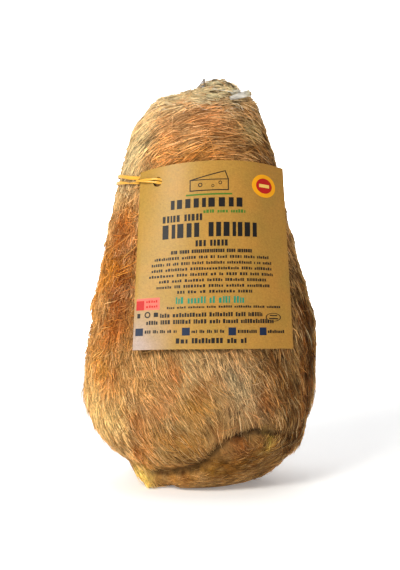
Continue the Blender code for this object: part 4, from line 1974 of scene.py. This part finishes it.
STROKES = (
    Stroke(-33.0, 218.0, 14.0, 20.0, -130.0),
    Stroke(-46.0, 200.0, 14.0, 22.0, -118.0),
    Stroke(-22.0, 232.0, 12.0, 9.0, -146.0),
    Stroke(-16.0, 214.0, 10.0, 15.0, -148.0),
    Stroke(-1.0, 216.0, 10.0, 16.0, 16.0),
    Stroke(13.0, 214.0, 12.0, 16.0, -6.0),
    Stroke(32.0, 212.0, 16.0, 22.0, -32.0),
    Stroke(2.0, 240.0, 14.0, 7.0, 8.0),
    Stroke(14.0, 250.0, 18.0, 7.0, -25.0),
    Stroke(-50.0, 160.0, 18.0, 30.0, -100.0),
    Stroke(-58.0, 110.0, 18.0, 30.0, -92.0),
    Stroke(-66.0, 60.0, 16.0, 24.0, -84.0),
    Stroke(-42.0, 50.0, 12.0, 26.0, -66.0),
    Stroke(-20.0, 60.0, 18.0, 26.0, -58.0),
    Stroke(8.0, 62.0, 18.0, 26.0, -56.0),
    Stroke(34.0, 62.0, 16.0, 26.0, -64.0),
    Stroke(56.0, 60.0, 16.0, 30.0, -74.0),
    Stroke(60.0, 140.0, 20.0, 40.0, -72.0),
    Stroke(0.0, 140.0, 30.0, 40.0, -70.0),
    Stroke(10.0, 14.0, 30.0, 9.0, 8.0),
    Stroke(44.0, 24.0, 16.0, 10.0, 30.0),
    Stroke(-35.0, 12.0, 10.0, 9.0, -60.0),
    Stroke(0.0, 225.0, 40.0, 26.0, -104.0, Side.BACK),
    Stroke(30.0, 170.0, 30.0, 40.0, -98.0, Side.BACK),
    Stroke(-30.0, 150.0, 30.0, 40.0, -82.0, Side.BACK),
    Stroke(0.0, 90.0, 40.0, 30.0, -95.0, Side.BACK),
    Stroke(0.0, 30.0, 50.0, 24.0, -110.0, Side.BACK),
)


@dataclass
class Sack:
    """The goatskin sack: hide and hair."""

    skin: HideSkin = field(default_factory=HideSkin)
    curly: Place = Place(-54.0, 140.0, 24.0, 42.0)
    curly_below: Spot = Spot(-58.0, 76.0, 20.0, 24.0, 0.7)
    restless: Place = Place(-54.0, 140.0, 22.0, 40.0)
    smooth: Spot = Spot(-66.0, 52.0, 24.0, 24.0, 0.3)
    short: Spot = Spot(-8.0, 46.0, 32.0, 20.0, 0.22)
    sunlit: tuple[Spot, ...] = (
        Spot(-65.0, 52.0, 15.0, 18.0, 1.1),
        Spot(-50.0, 55.0, 8.0, 9.0, 0.8),
        Spot(-34.0, 208.0, 13.0, 13.0, 0.6),
        Spot(-12.0, 203.0, 13.0, 7.0, 0.8),
        Spot(-60.0, 66.0, 12.0, 10.0, 0.4),
        Spot(-35.0, 7.0, 8.0, 8.0, 1.2),
    )
    card_left: float = 9.0
    card_right: float = 6.0
    card_low: float = 9.0
    card_high: float = 14.0
    card_soft: float = 4.0

    def kinds(self) -> tuple[HairKind, ...]:
        """The kinds of hair, from the shortest to the longest.

        Returns:
            The kinds.
        """
        return (
            HairKind(
                "undercoat", 18500, 6.5,
                HairFinish("undercoat", 0.40, 0.92, 0.6, Tone.TAN, 0.05),
                11, thickness=0.034, lift=0.34, wander=0.5, droop=0.32, curl=0.25, segments=2,
            ),
            HairKind(
                "coat", 12000, 9.0,
                HairFinish("coat", 0.6, 1.3, 0.5, Tone.STRAW, 0.2, Tone.RUST, 0.3),
                23, thickness=0.024, lift=0.24,
            ),
            HairKind(
                "sleek_hair", 12000, 10.5,
                HairFinish("sleek_hair", 0.75, 1.4, 0.55, Tone.CREAM, 0.22),
                29, thickness=0.0185, lift=0.22, wander=0.14, curl=0.08, wave=0.7,
            ),
            HairKind(
                "guard_hair", 8400, 12.0,
                HairFinish("guard_hair", 1.0, 1.75, 0.65, Tone.CREAM, 0.4, Tone.STRAW, 0.2),
                37, thickness=0.0145, lift=0.24, wander=0.13, curl=0.08, wave=0.7,
            ),
            # Dark strands: partly dark hair, partly painted shade in the gaps between the hairs.
            HairKind(
                "dark_hair_and_shade", 6500, 9.0,
                HairFinish("dark_hair_and_shade", 0.2, 0.45, 0.6, Tone.RUST, 0.3),
                41, thickness=0.022, lift=0.25,
            ),
            HairKind(
                "curls", 3600, 12.0,
                HairFinish("curls", 0.6, 1.4, 0.5, Tone.HONEY, 0.4, Tone.DEEP_RUST, 0.5),
                53, thickness=0.022, lift=0.45, wander=0.9, droop=0.5, curl=0.7,
                wave=2.4, wave_size=5.0, segments=5,
            ),
            HairKind(
                "pale_tufts", 1600, 9.0,
                HairFinish("pale_tufts", 0.75, 1.15, 0.6, Tone.WHITE, 0.8, Tone.CREAM, 0.5),
                67, thickness=0.03, lift=0.36, wander=0.5, droop=0.4, curl=0.5,
                wave=1.6, wave_size=6.0, segments=5,
            ),
        )

    def covers(self) -> dict[str, np.ndarray]:
        """How thickly each kind grows at each point of the hide.

        Returns:
            Covers by the kind's name.
        """
        skin = self.skin
        height = skin.points[:, 2] / MM
        grown = ramp(height, 1.2, 2.5)
        left = skin.near(self.curly)
        left += skin.near(self.curly_below) * self.curly_below.amount
        crown = ramp(height, 226.0, 16.0)
        patchy = np.clip(0.5 + skin.ripple(8.0, 44.0) * 1.6, 0.05, 1.0)
        # Painted shade: the dark strands grow thicker towards the right side.
        shade_to_right = np.clip(0.35 + skin.points[:, 0] / (70.0 * MM), 0.1, 1.0)
        fold = FoldLine()
        crease = fold.band(skin.points, -3.6 + 2.2 * skin.ripple(7.0, 93.0), -0.4)
        grown *= 1.0 - crease * np.clip(0.85 + skin.ripple(4.0, 95.0), 0.4, 1.0)
        grown *= self.beside_card()
        sleek = grown * (1.0 - 0.6 * np.clip(left, 0.0, 1.0))
        guard = np.clip(0.45 + skin.ripple(10.0, 61.0) * 1.2, 0.15, 1.0)
        guard *= 1.0 - 0.55 * ramp(skin.points[:, 0] / MM, 30.0, 25.0)
        for spot in self.sunlit:
            guard += spot.amount * skin.near(spot)
        short = 1.0 - 0.3 * fold.band(skin.points, -40.0, -3.0)
        return {
            "undercoat": grown,
            "coat": grown,
            "sleek_hair": sleek * short,
            "guard_hair": sleek * guard * short,
            "dark_hair_and_shade": grown * patchy * shade_to_right,
            "curls": grown * np.clip(left * 1.3 + 0.04, 0.0, 1.0),
            "pale_tufts": grown * crown,
        }

    def beside_card(self) -> np.ndarray:
        """Where hair can show: everywhere but behind the middle of the card.

        Returns:
            Numbers from 0 to 1 for the hide's points.
        """
        low, high = (np.array(corner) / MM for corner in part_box("card"))
        x, y, z = (self.skin.points / MM).T
        soft = self.card_soft
        inside = ramp(x - low[0], self.card_left, soft) * ramp(x, high[0] - self.card_right, -soft)
        inside *= ramp(z - low[2], self.card_low, soft) * ramp(z, high[2] - self.card_high, -soft)
        return 1.0 - inside * (y < -5.0)

    def manners(self) -> None:
        """Store how restless, fluffy and long the hair is over the hide."""
        skin = self.skin
        height = skin.points[:, 2] / MM
        left = skin.near(self.restless)
        foot = np.clip(1.0 - height / 30.0, 0.0, 1.0)
        crown = ramp(height, 232.0, 14.0)
        fold = FoldLine()
        flap = fold.band(skin.points, -40.0, -3.0)
        lip = fold.band(skin.points, -3.0, 7.0, 5.0)
        unrest = 1.0 + left * 0.9 + crown * 1.2 + flap + np.clip(skin.ripple(9.0, 71.0), 0.0, 1.0)
        skin.set_numbers("unrest", unrest)
        skin.set_numbers("fluff", 1.0 - 0.5 * foot + 0.25 * left)
        long = 1.0 - 0.3 * foot - 0.2 * crown + 0.2 * skin.ripple(14.0, 82.0)
        shorter = 1.0 - self.smooth.amount * skin.near(self.smooth)
        shorter = shorter * (1.0 - self.short.amount * skin.near(self.short))
        skin.set_numbers("long", long * (1.0 - 0.4 * flap) * (1.0 - 0.35 * lip) * shorter)

    def build(self) -> list[bpy.types.Object]:
        """Make the hide and grow its hair.

        Returns:
            The pieces.
        """
        pieces = [self.skin.build(HideFinish())]
        coat = Coat(self.skin, PATCHES, STROKES)
        coat.paint()
        coat.comb()
        self.manners()
        covers = self.covers()
        tree = HairTree()
        for kind in self.kinds():
            pieces.append(kind.grow(self.skin, tree, covers[kind.name]))
        pieces.append(CrownLocks(self.skin).build())
        return pieces


@dataclass(frozen=True)
class Lock:
    """Lock of hair that stands out of the coat: its way as seen from the front, and how it spreads."""

    way: tuple[tuple[float, float, float], ...]
    tone: Tone
    strands: int = 14
    fan: float = 1.2
    thick: float = 0.24
    gather: float = 0.35


@dataclass
class CrownLocks:
    """Locks at the gathered top: the standing wisp, the dark rim, the small curl and wavy pale ones."""

    skin: HideSkin
    wavy: int = 70
    sides: int = 3
    steps: int = 7
    seed: int = 5
    cell_margin: float = 0.05

    def named_locks(self) -> list[Lock]:
        """The locks that the top is known by.

        Returns:
            The locks.
        """
        turns = [math.radians(40.0 + 60.0 * i) for i in range(7)]
        curl = tuple(
            (16.0 + 1.7 * math.cos(a), 249.6 + 1.6 * math.sin(a), 3.2 + 0.1 * i) for i, a in enumerate(turns)
        )
        return [
            Lock(((0.0, 249.5, 2.0), (1.4, 252.8, 3.0), (3.0, 256.4, 3.2)), Tone.LILAC, 80, 2.6, 0.2, 0.7),
            Lock(
                ((7.8, 254.9, 2.4), (13.0, 254.4, 2.6), (17.9, 252.4, 2.6), (21.6, 249.8, 2.4)),
                Tone.SLATE, 26, 0.55,
            ),
            Lock(((33.6, 241.5, 1.6), (36.6, 237.6, 1.6), (38.4, 232.4, 1.4)), Tone.SLATE, 22, 0.6),
            Lock(curl, Tone.CREAM, 18, 0.4, 0.14, 0.2),
            Lock(((4.0, 251.0, 3.0), (9.0, 252.4, 3.4), (15.0, 251.4, 3.2)), Tone.GREY_CREAM, 30, 1.4, 0.15),
            Lock(((6.0, 248.4, 3.2), (11.0, 249.6, 3.8), (17.0, 247.2, 3.4)), Tone.CREAM, 26, 1.0, 0.15),
            Lock(
                ((14.6, 249.0, 3.0), (18.4, 247.4, 3.6), (19.6, 243.6, 3.4)),
                Tone.PALE_STRAW, 22, 0.9, 0.15,
            ),
            Lock(((7.4, 245.6, 2.8), (12.0, 246.0, 3.4), (17.6, 244.4, 3.2)), Tone.WHITE, 22, 0.8, 0.14),
            # Painted shade: dark locks that stand for the shade in the gaps between the tufts.
            Lock(((5.0, 248.6, 2.4), (9.4, 248.0, 2.6)), Tone.GAP, 14, 0.6, 0.14),
            Lock(((9.6, 247.4, 3.0), (13.0, 245.6, 3.2)), Tone.GAP, 12, 0.5, 0.14),
            Lock(((6.0, 243.8, 2.4), (10.6, 243.2, 2.6)), Tone.GAP, 14, 0.5, 0.14),
            Lock(((20.4, 249.6, 2.4), (23.4, 247.6, 2.4)), Tone.GAP, 16, 0.9, 0.14),
            Lock(((18.4, 246.8, 2.6), (18.6, 243.4, 2.6)), Tone.SLATE, 12, 0.6, 0.13),
            Lock(((17.0, 244.6, 4.0), (21.0, 244.2, 6.6), (26.0, 245.4, 7.0)), Tone.WHITE, 26, 1.0, 0.11),
            Lock(
                ((19.0, 243.0, 5.0), (25.0, 244.2, 7.0), (31.6, 247.0, 6.4)),
                Tone.WHITE, 26, 1.2, 0.1, 0.1,
            ),
            Lock(
                ((18.0, 245.2, 4.4), (21.0, 246.8, 6.0), (24.0, 247.4, 6.0)),
                Tone.PALE_STRAW, 20, 0.8, 0.12,
            ),
            Lock(
                ((20.0, 242.2, 4.6), (26.0, 242.4, 6.4), (32.0, 243.8, 6.0)),
                Tone.GREY_CREAM, 24, 0.8, 0.11,
            ),
            Lock(((24.0, 240.6, 2.0), (29.0, 241.6, 3.6), (33.0, 242.6, 3.2)), Tone.BLOND, 22, 1.2, 0.14),
            Lock(((30.6, 247.6, 5.6), (32.2, 246.0, 6.4), (32.4, 243.6, 6.0)), Tone.BROWN, 14, 0.4, 0.11),
        ]

    def wavy_locks(self) -> list[Lock]:
        """Pale wavy locks laid over the top by a seeded draw.

        Returns:
            The locks.
        """
        draw = random.Random(self.seed)
        locks = []
        for _ in range(self.wavy):
            x = draw.uniform(-24.0, 12.0)
            z = draw.uniform(237.0 + draw.uniform(-3.0, 3.0), self.top_at(x) - 2.5)
            turn = math.radians(draw.gauss(5.0, 28.0))
            long = draw.uniform(6.0, 10.0)
            bow = draw.uniform(-2.0, 2.0)
            way = []
            for share in (0.0, 0.35, 0.7, 1.0):
                aside = bow * math.sin(math.pi * share)
                here = (
                    x + long * share * math.cos(turn) - aside * math.sin(turn),
                    z + long * share * math.sin(turn) * 0.6 + aside * math.cos(turn),
                    1.2 + 1.6 * math.sin(math.pi * share * 0.8),
                )
                way.append(here)
            left, right = (Tone.CREAM, Tone.PEACH, Tone.STRAW), (Tone.CREAM, Tone.PALE_STRAW, Tone.GREY_CREAM)
            tone = draw.choice(left if x < -2.0 else right)
            locks.append(Lock(tuple(way), tone, 10, draw.uniform(0.6, 1.5), 0.11, -0.4))
        return locks

    def top_at(self, across: float) -> float:
        """Height of the hide's outline at a place."""
        near = np.abs(self.skin.points[:, 0] / MM - across) < 2.5
        return float(self.skin.points[near, 2].max() / MM)

    def route(self, lock: Lock, side: float, out: float) -> np.ndarray:
        """Middle line of one strand of a lock.

        Args:
            lock: The lock.
            side: How far the strand lies to the side, from -1 to 1.
            out: How far out it lies, from 0 to 1.

        Returns:
            Its points in metres.
        """
        knots = np.array(lock.way)
        shares = np.linspace(0.0, 1.0, self.steps)
        marks = np.linspace(0, 1, len(knots))
        places = np.stack([np.interp(shares, marks, knots[:, k]) for k in range(3)], axis=1)
        for _ in range(2):
            places[1:-1] = (places[:-2] + places[1:-1] * 2 + places[2:]) / 4
        along = np.gradient(places[:, :2], axis=0)
        along /= np.maximum(np.linalg.norm(along, axis=1), 1e-6)[:, None]
        fan = lock.fan * (1.0 - lock.gather * shares)
        places[:, 0] -= along[:, 1] * side * fan
        places[:, 1] += along[:, 0] * side * fan
        depth = [self.skin.seen_place(x, z, Side.FRONT)[1] / MM for x, z, _ in places]
        return np.stack([places[:, 0], np.array(depth) - places[:, 2] - out * 0.6, places[:, 1]], axis=1) * MM

    def build(self) -> bpy.types.Object:
        """Make all locks as one piece.

        Returns:
            The locks.
        """
        draw = random.Random(self.seed + 1)
        points, faces, coats, alongs, tints = [], [], [], [], []
        for lock in self.named_locks() + self.wavy_locks():
            for _ in range(lock.strands):
                line = self.route(lock, draw.uniform(-1.0, 1.0), draw.random())
                tint = draw.random()
                first = len(points)
                for step, here in enumerate(line):
                    ahead = line[min(step + 1, self.steps - 1)] - line[max(step - 1, 0)]
                    share = step / (self.steps - 1)
                    radius = lock.thick * (1.0 - share**2.2 * 0.96) * MM
                    turned = Vector(ahead).normalized().to_track_quat("Z", "Y").to_matrix()
                    for k in range(self.sides):
                        turn = math.tau * k / self.sides
                        aside = Vector((math.cos(turn), math.sin(turn), 0.0))
                        points.append(Vector(here) + turned @ aside * radius)
                        coats.append((*lock.tone.linear(), 1.0))
                        alongs.append(share)
                        tints.append(tint)
                for step in range(self.steps - 1):
                    for k in range(self.sides):
                        a, b = first + step * self.sides + k, first + step * self.sides + (k + 1) % self.sides
                        faces.append((a, b, b + self.sides, a + self.sides))
                last = first + (self.steps - 1) * self.sides
                faces.append(tuple(range(first + self.sides - 1, first - 1, -1)))
                faces.append(tuple(range(last, last + self.sides)))
        mesh = mesh_of("crown_locks", points, faces)
        for name, values in (("along", alongs), ("tint", tints)):
            mesh.attributes.new(name, "FLOAT", "POINT").data.foreach_set("value", values)
        mesh.attributes.new("coat", "FLOAT_COLOR", "POINT").data.foreach_set("color", np.array(coats).ravel())
        self.unwrap(mesh)
        finish = HairFinish("crown_locks", 0.6, 1.1, 0.7, Tone.WHITE, 0.3, Tone.BROWN, 0.15)
        return new_object("crown_locks", mesh, finish.make())

    def unwrap(self, mesh: bpy.types.Mesh) -> None:
        """Give each strand its own cell of the UV map.

        Args:
            mesh: The locks' mesh.
        """
        skin_faces = self.sides * (self.steps - 1)
        cells = math.ceil(math.sqrt(len(mesh.vertices) / (self.sides * self.steps)))
        used = 1.0 - 2 * self.cell_margin
        layer = mesh.uv_layers.new(name="OFBake")
        for face in mesh.polygons:
            place = face.index % (skin_faces + 2)
            closes = place < skin_faces and place % self.sides == self.sides - 1
            for corner in face.loop_indices:
                strand, local = divmod(mesh.loops[corner].vertex_index, self.sides * self.steps)
                step, k = divmod(local, self.sides)
                row, column = divmod(strand, cells)
                across = (self.sides if closes and k == 0 else k) / self.sides
                along = step / (self.steps - 1)
                u = column + self.cell_margin + used * across
                v = row + self.cell_margin + used * along
                layer.data[corner].uv = (u / cells, v / cells)


def ride_and_report(pieces: list[bpy.types.Object], node: str) -> None:
    """Fix pieces to the part, hide the node that they replace and report them.

    Args:
        pieces: The pieces.
        node: The node that they replace.
    """
    for piece in pieces:
        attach(piece, BODY)
        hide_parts(node)
        report(piece)


def main() -> None:
    """Build the studio and every piece."""
    logging.basicConfig(level=logging.INFO, format="%(name)s %(message)s", stream=sys.stdout)
    Studio().build()
    ride_and_report(Sack().build(), "sack")
    card = KraftCard()
    card.read()
    ride_and_report([card.build(KraftFinish()), *Print(card).build()], "card")
    hole = card.place(card.hole_left, card.hole_top)
    ride_and_report([Elastic(hole).build(ElasticFinish())], "band")
    ride_and_report([NeckStrip().build(StripFinish())], "neck_strip")


if __name__ == "__main__":
    main()
